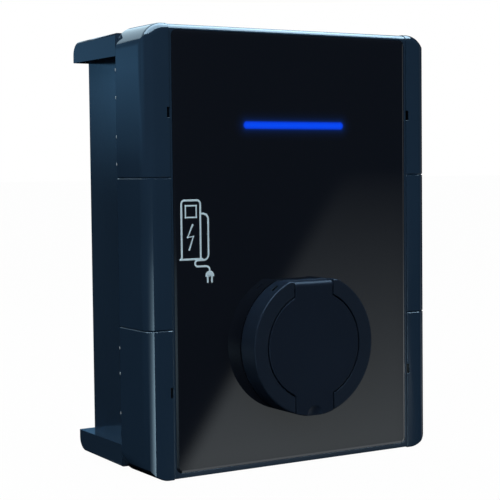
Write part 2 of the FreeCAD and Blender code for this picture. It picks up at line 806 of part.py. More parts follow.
def cover_screws():
    head = front_y + under_strip + cover_head_height
    tip = strip_rear_y - wall - 6
    return group([screw_y(cover_screw_r - screw_play, head, tip, x, z) for x, z in cover_screw_places()])


# Socket insert and contacts

def power_places():
    ring = core_r - contact_rim
    spots = [(0.0, 0.0), (-ring, 0.0), (ring, 0.0)]
    spots.append((-ring / 2, -ring * math.sin(math.radians(60))))
    spots.append((ring / 2, -ring * math.sin(math.radians(60))))
    return [(socket_x + x, socket_z + z) for x, z in spots]


def pilot_places():
    return [(socket_x + sx * pilot_half, socket_z + core_r - pilot_rim) for sx in (-1, 1)]


def socket_insert():
    base = rod_y(tube_r, tube_back_y, tube_back_y + insert_base, socket_x, socket_z)
    core_y = tube_back_y - core_height
    core = rod_y(core_r, core_y, tube_back_y + 1, socket_x, socket_z)
    flat = block(socket_x - core_r, socket_x + core_r, core_y - 1, tube_back_y,
                 socket_z + core_r - 4, socket_z + 2 * core_r)
    core = core.cut(flat)
    rim = [e for e in core.Edges if abs(e.CenterOfMass.y - core_y) < 0.01]
    core = core.makeFillet(1.0, rim)
    rear_hub = rod_y(core_r, tube_back_y + 1, tube_back_y + insert_base + 4, socket_x, socket_z)
    insert = fuse([base, core, rear_hub])
    for x, z in power_places():
        insert = insert.cut(rod_y(power_contact_r + 0.05, core_y + 1.5, tube_back_y + 30, x, z))
        insert = insert.cut(rod_y(power_hole_r + 0.6, core_y - 1, core_y + 2, x, z))
    for x, z in pilot_places():
        insert = insert.cut(rod_y(pilot_contact_r + 0.05, core_y + 1.5, tube_back_y + 30, x, z))
        insert = insert.cut(rod_y(pilot_hole_r + 0.5, core_y - 1, core_y + 2, x, z))
    for x, z in insert_screw_places():
        insert = insert.cut(rod_y(insert_screw_r + 0.2, tube_back_y - 1, tube_back_y + 20, x, z))
    return insert


def contact_sleeve(outer, bore, x, z):
    front = tube_back_y - core_height + 1.6
    back = tube_back_y + insert_base + contact_back
    sleeve = rod_y(outer, front, back, x, z)
    sleeve = sleeve.cut(rod_y(bore, front - 1, front + contact_bore, x, z))
    wire_hole = rod_y(bore * 0.9, back - wire_hole_depth, back + 1, x, z)
    slit = block(x - 0.4, x + 0.4, front - 1, front + contact_slit, z - outer - 1, z + outer + 1)
    return sleeve.cut(wire_hole).cut(slit)


def power_contacts():
    return group([contact_sleeve(power_contact_r, power_hole_r, x, z) for x, z in power_places()])


def pilot_contacts():
    return group([contact_sleeve(pilot_contact_r, pilot_hole_r, x, z) for x, z in pilot_places()])


def lock_actuator():
    y0 = cover_inner_y + 1.0
    y1 = tube_back_y + insert_base - 1
    box = block(socket_x - lock_box_half, socket_x + lock_box_half, y0, y1,
                lock_pad_z, lock_pad_z + lock_box_height)
    box = box.makeFillet(2.0, edges_along(box, Z_AXIS, lambda c: True))
    ears = block(socket_x - lock_ear_half, socket_x + lock_ear_half, y0 + 4, y1 - 4,
                 lock_pad_z, lock_pad_z + lock_ear)
    body = fuse([box, ears])
    body = body.cut(rod(Z_AXIS, lock_pin_r + run_gap, lock_box_height, socket_x, lock_y, lock_pad_z - 1))
    room = rod(Z_AXIS, lock_collar_r + 0.3, lock_travel + lock_collar + 1.0, socket_x, lock_y,
               lock_collar_z() - lock_travel - 0.5)
    return body.cut(room)


def lock_collar_z():
    """Underside of the pin's collar when the pin is drawn back."""
    return lock_pad_z + lock_ear + lock_travel


def lock_pin():
    low = socket_z + mouth_r + 1.5
    pin = rod(Z_AXIS, lock_pin_r, lock_collar_z() + lock_collar - low, socket_x, lock_y, low)
    collar = rod(Z_AXIS, lock_collar_r, lock_collar, socket_x, lock_y, lock_collar_z())
    tip = Part.makeCone(lock_pin_r - 0.8, lock_pin_r, 1.2, Vector(socket_x, lock_y, low - 1.2), Z_AXIS)
    return fuse([pin, collar, tip])


# Boards behind the panel

def led_posts():
    return [(sx * (light_half_length + led_post_reach), light_z) for sx in (-1, 1)]


def board_posts():
    x = board_half_w - board_hole_inset
    return [(sx * x, z) for sx in (-1, 1) for z in (board_z0 + board_hole_inset, board_z1 - board_hole_inset)]


def antenna_posts():
    x = antenna_half_w - 4
    z = antenna_half_h - 4
    return [(sx * x, antenna_z + sz * z) for sx in (-1, 1) for sz in (-1, 1)]


def drilled(board, spots):
    for x, z in spots:
        board = board.cut(rod_y(board_screw_r + 0.2, -body_depth, 0, x, z))
    return board


def led_board():
    half_x = light_half_length + led_board_reach
    board = block(-half_x, half_x, led_board_y, led_board_y + board_sheet,
                  light_z - led_board_half, light_z + led_board_half)
    return drilled(board, led_posts())


def led_chips():
    pitch = 2 * light_half_length / led_count
    chips = []
    for i in range(round(led_count)):
        x = -light_half_length + pitch * (i + 0.5)
        chips.append(block(x - 1.75, x + 1.75, led_board_y - 1.2, led_board_y, light_z - 1.4, light_z + 1.4))
    return group(chips)


def controller_board():
    board = block(-board_half_w, board_half_w, board_y, board_y + board_sheet, board_z0, board_z1)
    return drilled(board, board_posts())


def board_components():
    """Relay, processor, plug headers and capacitors on the back of the board."""
    y = board_y + board_sheet
    boxes = list(component_boxes)
    for i in range(round(header_count)):
        boxes.append((header_start[0] + i * header_pitch, header_start[1]) + header_size)
    parts = []
    for x, z, width, height, thick in boxes:
        middle = board_middle_z + z
        parts.append(block(x - width / 2, x + width / 2, y, y + thick,
                           middle - height / 2, middle + height / 2))
    for i in range(round(capacitor_count)):
        x = capacitor_start[0] + i * capacitor_pitch
        parts.append(rod_y(capacitor_r, y, y + capacitor_height, x, board_middle_z + capacitor_start[1]))
    return group(parts)


def antenna_board():
    board = block(-antenna_half_w, antenna_half_w, antenna_y, antenna_y + board_sheet,
                  antenna_z - antenna_half_h, antenna_z + antenna_half_h)
    return drilled(board, antenna_posts())


def board_screws():
    screws = []
    for spots, y in ((led_posts(), led_board_y), (board_posts(), board_y), (antenna_posts(), antenna_y)):
        for x, z in spots:
            screws.append(screw_y(board_screw_r - screw_play, y + board_sheet, y - 2.0, x, z))
    return group(screws)


# Rail and rail devices

def din_rail():
    back = rail_front_y + rail_height
    web = rail_web / 2
    edge = rail_width / 2
    s = rail_sheet
    outline = [(back, web), (rail_front_y + s, web), (rail_front_y + s, edge), (rail_front_y, edge),
               (rail_front_y, web - s), (back - s, web - s), (back - s, s - web), (rail_front_y, s - web),
               (rail_front_y, -edge), (rail_front_y + s, -edge), (rail_front_y + s, -web), (back, -web)]
    points = [Vector(-rail_length / 2, y, rail_z + z) for y, z in outline]
    rail = Part.Face(Part.makePolygon(points + [points[0]])).extrude(Vector(rail_length, 0, 0))
    for sx in (-1, 1):
        rail = rail.cut(rod_y(rail_screw_r + 0.3, rail_front_y - 1, 0, sx * rail_screw_x, rail_z))
    return rail


def rail_screws():
    head = rail_front_y + rail_height - rail_sheet
    tip = -wall - 1.0
    return group([screw_y(rail_screw_r - screw_play, head, tip, sx * rail_screw_x, rail_z) for sx in (-1, 1)])


def rail_device(x0, modules):
    """Modular rail device: shallow shoulders with the clamps, and a nose between them."""
    half = device_height / 2
    nose = device_nose / 2
    seat = rail_front_y - 0.05
    shoulder = rail_front_y - device_shoulder
    front = rail_front_y - device_depth
    outline = [(seat, half), (shoulder, half), (shoulder, nose), (front, nose),
               (front, -nose), (shoulder, -nose), (shoulder, -half), (seat, -half)]
    points = [Vector(x0, y, rail_z + z) for y, z in outline]
    width = modules * module - module_play
    device = Part.Face(Part.makePolygon(points + [points[0]])).extrude(Vector(width, 0, 0))
    foot = 3.0
    for sz in (-1, 1):
        z0, z1 = sorted((rail_z + sz * (rail_width / 2 + 0.2), rail_z + sz * (rail_width / 2 + 9)))
        device = device.fuse(block(x0, x0 + width, seat - 1, seat + foot, z0, z1))
    return device.removeSplitter()


def device_places():
    """Name, left end and modules of the devices, side by side from the rail's left end."""
    places = []
    x = first_device_inset - rail_length / 2
    for name, count in (("energy_meter", meter_module_count), ("contactor", contactor_module_count),
                        ("power_supply", supply_module_count)):
        places.append((name, x, count))
        x += count * module + device_gap
    return places, x


def clamp_wells(x0, modules):
    spots = []
    for i in range(round(modules)):
        x = x0 + module * (i + 0.5) - module_play / 2
        for sz in (-1, 1):
            spots.append((x, rail_z + sz * (device_height / 2 - 9)))
    return spots


def rail_devices():
    devices = {}
    for name, x0, modules in device_places()[0]:
        device = rail_device(x0, modules)
        for x, z in clamp_wells(x0, modules):
            shoulder = rail_front_y - device_shoulder
            device = device.cut(rod_y(clamp_screw_r + 0.3, shoulder - 1, shoulder + 4, x, z))
        devices[name] = device
    return devices


def device_screws():
    screws = []
    shoulder = rail_front_y - device_shoulder
    for name, x0, modules in device_places()[0]:
        for x, z in clamp_wells(x0, modules):
            head = rod_y(clamp_screw_r, shoulder + 1.5, shoulder + 4, x, z)
            slot = block(x - clamp_screw_r, x + clamp_screw_r, shoulder + 1, shoulder + 2.2, z - 0.4, z + 0.4)
            screws.append(head.cut(slot))
    return group(screws)


def supply_terminals():
    """Five feed-through terminals side by side, with wire mouths above and below."""
    slices = []
    terminal_x = device_places()[1]
    half, top, nose = terminal_half, terminal_top_half, terminal_nose
    shoulder = nose - (half - top)
    for i in range(round(terminal_count)):
        x = terminal_x + i * terminal_pitch
        width = terminal_pitch - 0.2
        outline = [(-0.05, half), (-shoulder, half), (-nose, top), (-nose, -top), (-shoulder, -half),
                   (-0.05, -half)]
        points = [Vector(x, rail_front_y + y, rail_z + z) for y, z in outline]
        slab = Part.Face(Part.makePolygon(points + [points[0]])).extrude(Vector(width, 0, 0))
        for sz in (-1, 1):
            z0, z1 = sorted((rail_z + sz * (rail_width / 2 + 0.2), rail_z + sz * (rail_width / 2 + 6)))
            slab = slab.fuse(block(x, x + width, rail_front_y - 1, rail_front_y + 3, z0, z1))
            slab = slab.cut(rod_y(clamp_screw_r, rail_front_y - nose - 2, rail_front_y - nose + 18,
                                  x + width / 2, rail_z + sz * 9))
        slices.append(slab.removeSplitter())
    return group(slices)


# Residual-current sensor

def sensor_posts():
    return [(sensor_x + sx * (sensor_r + sensor_screw_reach), sensor_back, sensor_z) for sx in (-1, 1)]


def current_sensor():
    front = sensor_back - sensor_width
    body = tube_y(sensor_r, sensor_bore, front, sensor_back, sensor_x, sensor_z)
    reach = sensor_r + sensor_foot_reach
    wing = block(sensor_x - reach, sensor_x + reach, sensor_back - sensor_foot, sensor_back,
                 sensor_z - sensor_foot_half, sensor_z + sensor_foot_half)
    wing = wing.cut(rod_y(sensor_bore, front, 0, sensor_x, sensor_z))
    body = fuse([body, wing])
    for x, y, z in sensor_posts():
        body = body.cut(rod_y(sensor_screw_r + 0.2, front, 0, x, z))
    return body


def sensor_screws():
    return group([screw_y(sensor_screw_r - screw_play, y - sensor_foot, y + sensor_screw_grip, x, z)
                  for x, y, z in sensor_posts()])


# Cable entries

def grommet(x, hole_r, bore_r):
    """Turned rubber grommet: two lips and a groove that holds the housing's bottom wall."""
    wall_out = entry_seat_z()
    wall_in = -rear_inner_h
    r = hole_r - 0.05
    lip = hole_r + grommet_lip
    outline = [(bore_r, wall_out - grommet_rim), (lip - 1, wall_out - grommet_rim), (lip, wall_out - 0.6),
               (lip, wall_out - 0.05), (r, wall_out - 0.05), (r, wall_in + 0.05), (lip - 0.5, wall_in + 0.05),
               (r, wall_in + 3.5), (bore_r + 1.5, wall_in + 3.5), (bore_r, wall_in + 2.5)]
    points = [Vector(radius, 0, z) for radius, z in outline]
    turned = Part.Face(Part.makePolygon(points + [points[0]])).revolve(Vector(0, 0, 0), Z_AXIS, 360)
    turned.translate(Vector(x, entry_y, 0))
    return turned


def build():
    parts = {"rear_shell": rear_shell(), "cover_seal": cover_seal(), "front_cover": front_cover(),
             "front_panel": front_panel(), "light_bar": light_bar()}
    parts.update(side_strips())
    parts["socket_ring"] = socket_ring()
    parts["socket_sleeve"] = socket_sleeve()
    parts["socket_lid"] = socket_lid()
    parts["lid_seal"] = lid_seal()
    parts["lid_spring"] = lid_spring()
    parts["hinge_pin"] = hinge_pin()
    parts["socket_gasket"] = socket_gasket()
    parts["socket_screws"] = socket_screws()
    parts["socket_insert"] = socket_insert()
    parts["insert_screws"] = insert_screws()
    parts["power_contacts"] = power_contacts()
    parts["pilot_contacts"] = pilot_contacts()
    parts["lock_actuator"] = lock_actuator()
    parts["lock_pin"] = lock_pin()
    parts["cover_screws"] = cover_screws()
    parts["led_board"] = led_board()
    parts["led_chips"] = led_chips()
    parts["controller_board"] = controller_board()
    parts["board_components"] = board_components()
    parts["antenna_board"] = antenna_board()
    parts["board_screws"] = board_screws()
    parts["din_rail"] = din_rail()
    parts["rail_screws"] = rail_screws()
    parts.update(rail_devices())
    parts["device_screws"] = device_screws()
    parts["supply_terminals"] = supply_terminals()
    parts["current_sensor"] = current_sensor()
    parts["sensor_screws"] = sensor_screws()
    parts["supply_grommet"] = grommet(supply_entry_x, supply_hole_r, supply_bore_r)
    parts["data_grommet"] = grommet(data_entry_x, data_hole_r, data_bore_r)
    return parts


os.makedirs("parts", exist_ok=True)
for name, shape in build().items():
    part = solid_of(shape)
    part.exportStep("parts/" + name + ".step")
    print(name, len(part.Solids), "solids, valid", part.isValid(), "volume", round(part.Volume, 1))
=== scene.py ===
import bmesh
import bpy
import json
import math
from mathutils import Matrix, Vector


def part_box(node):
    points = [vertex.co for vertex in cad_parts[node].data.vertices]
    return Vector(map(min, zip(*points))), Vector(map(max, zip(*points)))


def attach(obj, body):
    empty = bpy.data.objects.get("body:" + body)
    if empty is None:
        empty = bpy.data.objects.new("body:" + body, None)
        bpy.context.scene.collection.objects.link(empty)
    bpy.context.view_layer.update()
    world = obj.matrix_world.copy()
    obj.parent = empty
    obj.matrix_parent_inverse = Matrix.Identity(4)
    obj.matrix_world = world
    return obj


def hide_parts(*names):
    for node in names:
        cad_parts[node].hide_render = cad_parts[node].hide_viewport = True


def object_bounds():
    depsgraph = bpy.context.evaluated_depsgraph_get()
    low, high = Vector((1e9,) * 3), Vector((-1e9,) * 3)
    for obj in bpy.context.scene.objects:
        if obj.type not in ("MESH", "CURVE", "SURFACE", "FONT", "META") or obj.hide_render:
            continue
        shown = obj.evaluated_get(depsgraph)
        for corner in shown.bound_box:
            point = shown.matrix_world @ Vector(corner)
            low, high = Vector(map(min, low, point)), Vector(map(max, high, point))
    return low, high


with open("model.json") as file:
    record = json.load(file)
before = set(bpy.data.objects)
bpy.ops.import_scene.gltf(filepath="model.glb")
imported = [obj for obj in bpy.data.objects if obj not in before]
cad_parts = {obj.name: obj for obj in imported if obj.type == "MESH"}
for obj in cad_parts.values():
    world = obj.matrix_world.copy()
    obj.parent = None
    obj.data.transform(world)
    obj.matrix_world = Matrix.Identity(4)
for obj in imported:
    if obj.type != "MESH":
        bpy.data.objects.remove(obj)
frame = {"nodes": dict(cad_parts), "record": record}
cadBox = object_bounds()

scene = bpy.context.scene
scene.view_settings.view_transform = "Standard"
nodes = frame["nodes"]
bodies = frame["record"]["behaviour"]["bodies"]
bodyOf = {node: body for body, members in bodies.items() for node in members}
slotOf = {part["node"]: part["material_slot"] for part in frame["record"]["subparts"]}
print("frame loaded,", len(nodes), "nodes")


# camera, from the lines of the housing in the photograph

cameraView = {
    "place": (-0.68465, -1.18267, 0.06917),
    "yaw": 31.465,  # degrees, turned to the right
    "pitch": 3.21,  # looking down
    "roll": -0.616,
    "lens": 100.15,
    "sensor": 36,
    "shiftY": -0.00208,
    "clipStart": 0.05,
}


def makeCamera(values):
    yaw, pitch, roll = (math.radians(values[key]) for key in ("yaw", "pitch", "roll"))
    level = math.cos(pitch)
    ahead = Vector((math.sin(yaw) * level, math.cos(yaw) * level, -math.sin(pitch)))
    across = Vector((math.cos(yaw), -math.sin(yaw), 0))
    above = across.cross(ahead)
    right = math.cos(roll) * across + math.sin(roll) * above
    up = math.cos(roll) * above - math.sin(roll) * across
    data = bpy.data.cameras.new("photoCamera")
    data.sensor_width = values["sensor"]
    data.lens = values["lens"]
    data.shift_y = values["shiftY"]
    data.clip_start = values["clipStart"]
    camera = bpy.data.objects.new("photoCamera", data)
    turn = Matrix((right, up, -ahead)).transposed().to_4x4()
    camera.matrix_world = Matrix.Translation(values["place"]) @ turn
    scene.collection.objects.link(camera)
    scene.camera = camera


makeCamera(cameraView)


# helpers for node trees

def addNode(tree, kind, inputs=(), **settings):
    node = tree.nodes.new(kind)
    for name, value in settings.items():
        setattr(node, name, value)
    for name, value in dict(inputs).items():
        if isinstance(value, bpy.types.NodeSocket):
            tree.links.new(value, node.inputs[name])
        else:
            node.inputs[name].default_value = value
    return node


def mathNode(tree, operation, a, b=0.0, c=0.0):
    return addNode(tree, "ShaderNodeMath", {0: a, 1: b, 2: c}, operation=operation).outputs[0]


def times(tree, first, *others):
    for other in others:
        first = mathNode(tree, "MULTIPLY", first, other)
    return first


def vectorMath(tree, operation, a, b=(0.0, 0.0, 0.0)):
    return addNode(tree, "ShaderNodeVectorMath", {0: a, 1: b}, operation=operation).outputs[0]


def axesOf(tree, vector):
    return addNode(tree, "ShaderNodeSeparateXYZ", {"Vector": vector}).outputs


def vectorOf(tree, x=0.0, y=0.0, z=0.0):
    return addNode(tree, "ShaderNodeCombineXYZ", {"X": x, "Y": y, "Z": z}).outputs[0]


def noiseOf(tree, place, scale, detail, rough=0.5):
    values = {"Vector": place, "Scale": scale, "Detail": detail, "Roughness": rough}
    return addNode(tree, "ShaderNodeTexNoise", values).outputs["Fac"]


def rangeOf(tree, value, low, high):
    return addNode(tree, "ShaderNodeMapRange", {"Value": value, "To Min": low, "To Max": high}).outputs[0]


def stepOf(tree, value, low, high):
    ends = {"Value": value, "From Min": low, "From Max": high}
    return addNode(tree, "ShaderNodeMapRange", ends, interpolation_type="SMOOTHSTEP").outputs[0]


def rampOf(tree, fac, stops):
    ramp = addNode(tree, "ShaderNodeValToRGB", {"Fac": fac})
    elements = ramp.color_ramp.elements
    elements[0].position, elements[0].color = stops[0]
    elements[1].position, elements[1].color = stops[-1]
    for place, colour in stops[1:-1]:
        elements.new(place).color = colour
    return ramp.outputs["Color"]


def mixColour(tree, share, one, other):
    return addNode(tree, "ShaderNodeMix", {0: share, 6: one, 7: other}, data_type="RGBA").outputs[2]


def mixShader(tree, share, one, other):
    return addNode(tree, "ShaderNodeMixShader", {0: share, 1: one, 2: other}).outputs[0]


def shade(colour, factor):
    return (colour[0] * factor, colour[1] * factor, colour[2] * factor, 1)


def startFinish(name):
    material = bpy.data.materials.new(name)
    material.use_nodes = True
    tree = material.node_tree
    place = addNode(tree, "ShaderNodeTexCoord").outputs["Object"]
    return material, tree, tree.nodes["Principled BSDF"], place


# moulded plastics and rubber

mouldedSurface = {
    "cloudDetail": 3.0,
    "grainDetail": 2.0,
    "grainRoughness": 0.6,
    "grainDepth": 0.0001,
    "roughSpread": 0.02,
    "mottle": ((0.3, 0.94), (0.7, 1.06)),  # noise value, share of the colour
    # share of the colour kept where the slots' shade is painted
    "paintedSlotShadeShare": 0.06,
    "rimFacing": (0.62, 0.88),  # where the painted shade on faces seen edge-on starts and is full
}

shellFinish = {
    "colour": (0.0175, 0.036, 0.064), "rough": 0.12, "gloss": 0.3,
    "cloudScale": 9.0, "grainScale": 2600.0, "grain": 0.2,
}
frameFinish = {
    "colour": (0.0175, 0.036, 0.064), "rough": 0.045, "gloss": 0.3,
    "cloudScale": 9.0, "grainScale": 2600.0, "grain": 0.01, "rim": 0.1,
}
stripFinish = {
    "colour": (0.0165, 0.036, 0.066), "rough": 0.04, "gloss": 0.3,
    "cloudScale": 9.0, "grainScale": 2600.0, "grain": 0.01, "rim": 0.1,
    "paintedSlotShade": {"middle": (0.127, 0.1410, 0.1195), "half": (0.0016, 0.0008, 0.0047)},  # pry slots, their shade painted dark in the colour
}
ringFinish = {
    "colour": (0.0120, 0.0198, 0.0345), "rough": 0.34, "gloss": 0.08,
    "cloudScale": 14.0, "grainScale": 2100.0, "grain": 0.4,
    "paintedSlotShade": {"middle": (0.0290, 0.1550, 0.0352), "half": (0.0044, 0.0017, 0.0034)},  # tool slot, its shade painted dark in the colour
}
lidFinish = {
    "colour": (0.0104, 0.0172, 0.0310), "rough": 0.34, "gloss": 0.06,
    "cloudScale": 14.0, "grainScale": 2100.0, "grain": 0.4,
}
insertFinish = {
    "colour": (0.02, 0.02, 0.022), "rough": 0.5, "gloss": 0.4,
    "cloudScale": 20.0, "grainScale": 1800.0, "grain": 0.5,
}
rubberFinish = {
    "colour": (0.012, 0.012, 0.013), "rough": 0.7, "gloss": 0.25,
    "cloudScale": 30.0, "grainScale": 1500.0, "grain": 0.6,
}
deviceFinish = {
    "colour": (0.52, 0.53, 0.53), "rough": 0.45, "gloss": 0.4,
    "cloudScale": 12.0, "grainScale": 2000.0, "grain": 0.3,
}
actuatorFinish = {
    "colour": (0.03, 0.033, 0.036), "rough": 0.5, "gloss": 0.4,
    "cloudScale": 20.0, "grainScale": 1800.0, "grain": 0.4,
}
terminalFinish = {
    "colour": (0.17, 0.19, 0.20), "rough": 0.5, "gloss": 0.4,
    "cloudScale": 16.0, "grainScale": 1800.0, "grain": 0.4,
}
componentFinish = {
    "colour": (0.008, 0.008, 0.009), "rough": 0.4, "gloss": 0.5,
    "cloudScale": 60.0, "grainScale": 3000.0, "grain": 0.4,
}
clipFinish = {
    "colour": (0.62, 0.66, 0.68), "rough": 0.3, "gloss": 0.5,
    "cloudScale": 40.0, "grainScale": 2600.0, "grain": 0.2,
}
printFinish = {
    "colour": (0.70, 0.88, 0.97), "rough": 0.5, "gloss": 0.2,
    "cloudScale": 30.0, "grainScale": 3000.0, "grain": 0.1,
}


def boxMask(tree, place, values):  # 1 inside a box that is repeated in all eight mirror places
    away = vectorMath(tree, "SUBTRACT", vectorMath(tree, "ABSOLUTE", place), values["middle"])
    over = axesOf(tree, vectorMath(tree, "SUBTRACT", vectorMath(tree, "ABSOLUTE", away), values["half"]))
    outside = mathNode(tree, "MAXIMUM", over["X"], mathNode(tree, "MAXIMUM", over["Y"], over["Z"]))
    return mathNode(tree, "LESS_THAN", outside, 0.0)


def mottled(tree, noise, base, stops):
    return rampOf(tree, noise, [(place, shade(base, factor)) for place, factor in stops])


def makeMoulded(name, values, surface=mouldedSurface):
    material, tree, shader, place = startFinish(name)
    cloud = noiseOf(tree, place, values["cloudScale"], surface["cloudDetail"])
    grain = noiseOf(tree, place, values["grainScale"], surface["grainDetail"], surface["grainRoughness"])
    base = values["colour"]
    colour = mottled(tree, cloud, base, surface["mottle"])
    # painted shade: inside the slot boxes the colour is darkened to stand for the shade in the slots
    if "paintedSlotShade" in values:
        paintedSlotMask = boxMask(tree, place, values["paintedSlotShade"])
        colour = mixColour(tree, paintedSlotMask, colour, shade(base, surface["paintedSlotShadeShare"]))
    # painted shade: faces seen edge-on from the camera are darkened towards the outline, standing in for
    # shade there
    if "rim" in values:
        facing = addNode(tree, "ShaderNodeLayerWeight", {"Blend": 0.5}).outputs["Facing"]
        rim = stepOf(tree, facing, *surface["rimFacing"])
        colour = mixColour(tree, rim, colour, shade(base, values["rim"]))
    tree.links.new(colour, shader.inputs["Base Color"])
    spread = surface["roughSpread"]
    rough = rangeOf(tree, cloud, values["rough"] - spread, values["rough"] + spread)
    tree.links.new(rough, shader.inputs["Roughness"])
    relief = {"Height": grain, "Strength": values["grain"], "Distance": surface["grainDepth"]}
    tree.links.new(addNode(tree, "ShaderNodeBump", relief).outputs[0], shader.inputs["Normal"])
    shader.inputs["Specular IOR Level"].default_value = values["gloss"]
    return material


# glossy panel with a painted glow around the bar, and the lit guide in it

lightBarGlow = {
    "halfLength": 0.0497,
    "z": 0.1092,
    "core": 0.0033,  # half the height of the lit bar
    "reach": 0.014,  # how far the painted glow spreads on the panel
    "coreStops": [
        (0.0, (0.0, 0.063, 0.86, 1)), (0.6, (0.0, 0.050, 0.80, 1)), (1.0, (0.0, 0.023, 0.40, 1)),
    ],
    "paintedPanelGlowStops": [
        (0.0, (0.0, 0.02, 0.3, 1)), (0.25, (0.0, 0.012, 0.13, 1)), (0.36, (0.0, 0.005, 0.034, 1)),
        (0.55, (0.0, 0.0015, 0.009, 1)), (0.8, (0.0, 0.0003, 0.002, 1)), (1.0, (0, 0, 0, 1)),
    ],
}
panelFinish = {
    "colour": (0.0080, 0.0105, 0.0165), "rough": 0.035, "gloss": 0.5,
    "cloudScale": 3.0, "cloudDetail": 2.0, "hazeScale": 700.0, "hazeDetail": 4.0, "roughSpread": 0.2,
}
guideFinish = {"colour": (0.0, 0.01, 0.08, 1), "rough": 0.25}


def barDistance(tree, place, values):
    axes = axesOf(tree, place)
    along = mathNode(tree, "SUBTRACT", mathNode(tree, "ABSOLUTE", axes["X"]), values["halfLength"])
    along = mathNode(tree, "MAXIMUM", along, 0.0)
    across = mathNode(tree, "SUBTRACT", axes["Z"], values["z"])
    total = mathNode(tree, "ADD", mathNode(tree, "POWER", along, 2.0), times(tree, across, across))
    return mathNode(tree, "SQRT", total)


def lightUp(tree, shader, place, glow, size, stops):
    away = mathNode(tree, "DIVIDE", barDistance(tree, place, glow), size)
    tree.links.new(rampOf(tree, away, stops), shader.inputs["Emission Color"])
    shader.inputs["Emission Strength"].default_value = 1.0


def makePanel(name, values, glow):
    material, tree, shader, place = startFinish(name)
    # painted glow: the panel's own emission, fading with distance from the bar, stands in for the bar's light
    # spreading on it
    lightUp(tree, shader, place, glow, glow["reach"], glow["paintedPanelGlowStops"])
    cloud = noiseOf(tree, place, values["cloudScale"], values["cloudDetail"])
    colour = mottled(tree, cloud, values["colour"], mouldedSurface["mottle"])
    tree.links.new(colour, shader.inputs["Base Color"])
    haze = noiseOf(tree, place, values["hazeScale"], values["hazeDetail"])
    low, high = (values["rough"] * (1 + side * values["roughSpread"]) for side in (-1, 1))
    tree.links.new(rangeOf(tree, haze, low, high), shader.inputs["Roughness"])
    shader.inputs["Specular IOR Level"].default_value = values["gloss"]
    return material


def makeLightGuide(name, values, glow):
    material, tree, shader, place = startFinish(name)
    lightUp(tree, shader, place, glow, glow["core"], glow["coreStops"])
    shader.inputs["Base Color"].default_value = values["colour"]
    shader.inputs["Roughness"].default_value = values["rough"]
    return material


# metals, boards and diodes

metals = {
    "steel": {"colour": (0.56, 0.57, 0.58), "rough": 0.32},
    "springSteel": {"colour": (0.50, 0.51, 0.53), "rough": 0.25},
    "contact": {"colour": (0.80, 0.74, 0.60), "rough": 0.22},
}
brushing = {
    "stretch": (1.0, 12.0, 1.0),
    "scale": 400.0,
    "detail": 3.0,
    "stops": ((0.25, 0.85), (0.75, 1.05)),
    "smoother": 0.06,
    "rougher": 0.08,
}
boardFinish = {
    "mask": (0.012, 0.10, 0.05), "trace": (0.02, 0.15, 0.07), "maskShade": 0.92,
    "trackScale": 260.0, "gap": 0.06, "relief": 0.4, "depth": 0.00004, "rough": 0.3,
}
chipFinish = {
    "scale": 900.0, "rough": 0.3,
    "stops": [(0.0, (0.75, 0.62, 0.2, 1)), (1.0, (0.8, 0.8, 0.76, 1))],
}


def makeMetal(name, values, brush=brushing):
    material, tree, shader, place = startFinish(name)
    stretched = addNode(tree, "ShaderNodeMapping", {"Vector": place, "Scale": brush["stretch"]}).outputs[0]
    lines = noiseOf(tree, stretched, brush["scale"], brush["detail"])
    colour = mottled(tree, lines, values["colour"], brush["stops"])
    tree.links.new(colour, shader.inputs["Base Color"])
    rough = rangeOf(tree, lines, values["rough"] - brush["smoother"], values["rough"] + brush["rougher"])
    tree.links.new(rough, shader.inputs["Roughness"])
    shader.inputs["Metallic"].default_value = 1.0
    return material


def makeBoard(name, values):
    material, tree, shader, place = startFinish(name)
    upright = {"Vector": place, "Rotation": (math.pi / 2, 0, 0)}  # the bricks lie in the board's plane
    tracks = addNode(tree, "ShaderNodeTexBrick", {
        "Vector": addNode(tree, "ShaderNodeMapping", upright).outputs[0],
        "Scale": values["trackScale"],
        "Mortar Size": values["gap"],
        "Color1": shade(values["mask"], 1),
        "Color2": shade(values["mask"], values["maskShade"]),
        "Mortar": shade(values["trace"], 1),
    }).outputs
    tree.links.new(tracks["Color"], shader.inputs["Base Color"])
    relief = {"Height": tracks["Fac"], "Strength": values["relief"], "Distance": values["depth"]}
    tree.links.new(addNode(tree, "ShaderNodeBump", relief).outputs[0], shader.inputs["Normal"])
    shader.inputs["Roughness"].default_value = values["rough"]
    return material


def makeChip(name, values):
    material, tree, shader, place = startFinish(name)
    spots = addNode(tree, "ShaderNodeTexVoronoi", {"Vector": place, "Scale": values["scale"]})
    colour = rampOf(tree, spots.outputs["Distance"], values["stops"])
    tree.links.new(colour, shader.inputs["Base Color"])
    shader.inputs["Roughness"].default_value = values["rough"]
    return material


finishes = {
    "housing": makeMoulded("shellPlastic", shellFinish),
    "frame": makeMoulded("framePlastic", frameFinish),
    "strip": makeMoulded("stripPlastic", stripFinish),
    "panel": makePanel("glossyPanel", panelFinish, lightBarGlow),
    "light_guide": makeLightGuide("litGuide", guideFinish, lightBarGlow),
    "socket_housing": makeMoulded("ringPlastic", ringFinish),
    "lid": makeMoulded("lidPlastic", lidFinish),
    "seal": makeMoulded("sealRubber", rubberFinish),
    "steel": makeMetal("zincSteel", metals["steel"]),
    "spring_steel": makeMetal("springWire", metals["springSteel"]),
    "contact": makeMetal("silverBrass", metals["contact"]),
    "insert": makeMoulded("insertPlastic", insertFinish),
    "device": makeMoulded("deviceGrey", deviceFinish),
    "actuator": makeMoulded("actuatorPlastic", actuatorFinish),
    "board": makeBoard("greenBoard", boardFinish),
    "component": makeMoulded("componentBlack", componentFinish),
    "chip": makeChip("diodePackage", chipFinish),
    "terminal": makeMoulded("terminalGrey", terminalFinish),
    "clip": makeMoulded("clipPale", clipFinish),
    "print": makeMoulded("printInk", printFinish),
}
print("materials made,", len(finishes))


# smooth copies of the rounded nodes, and finishes on all of them

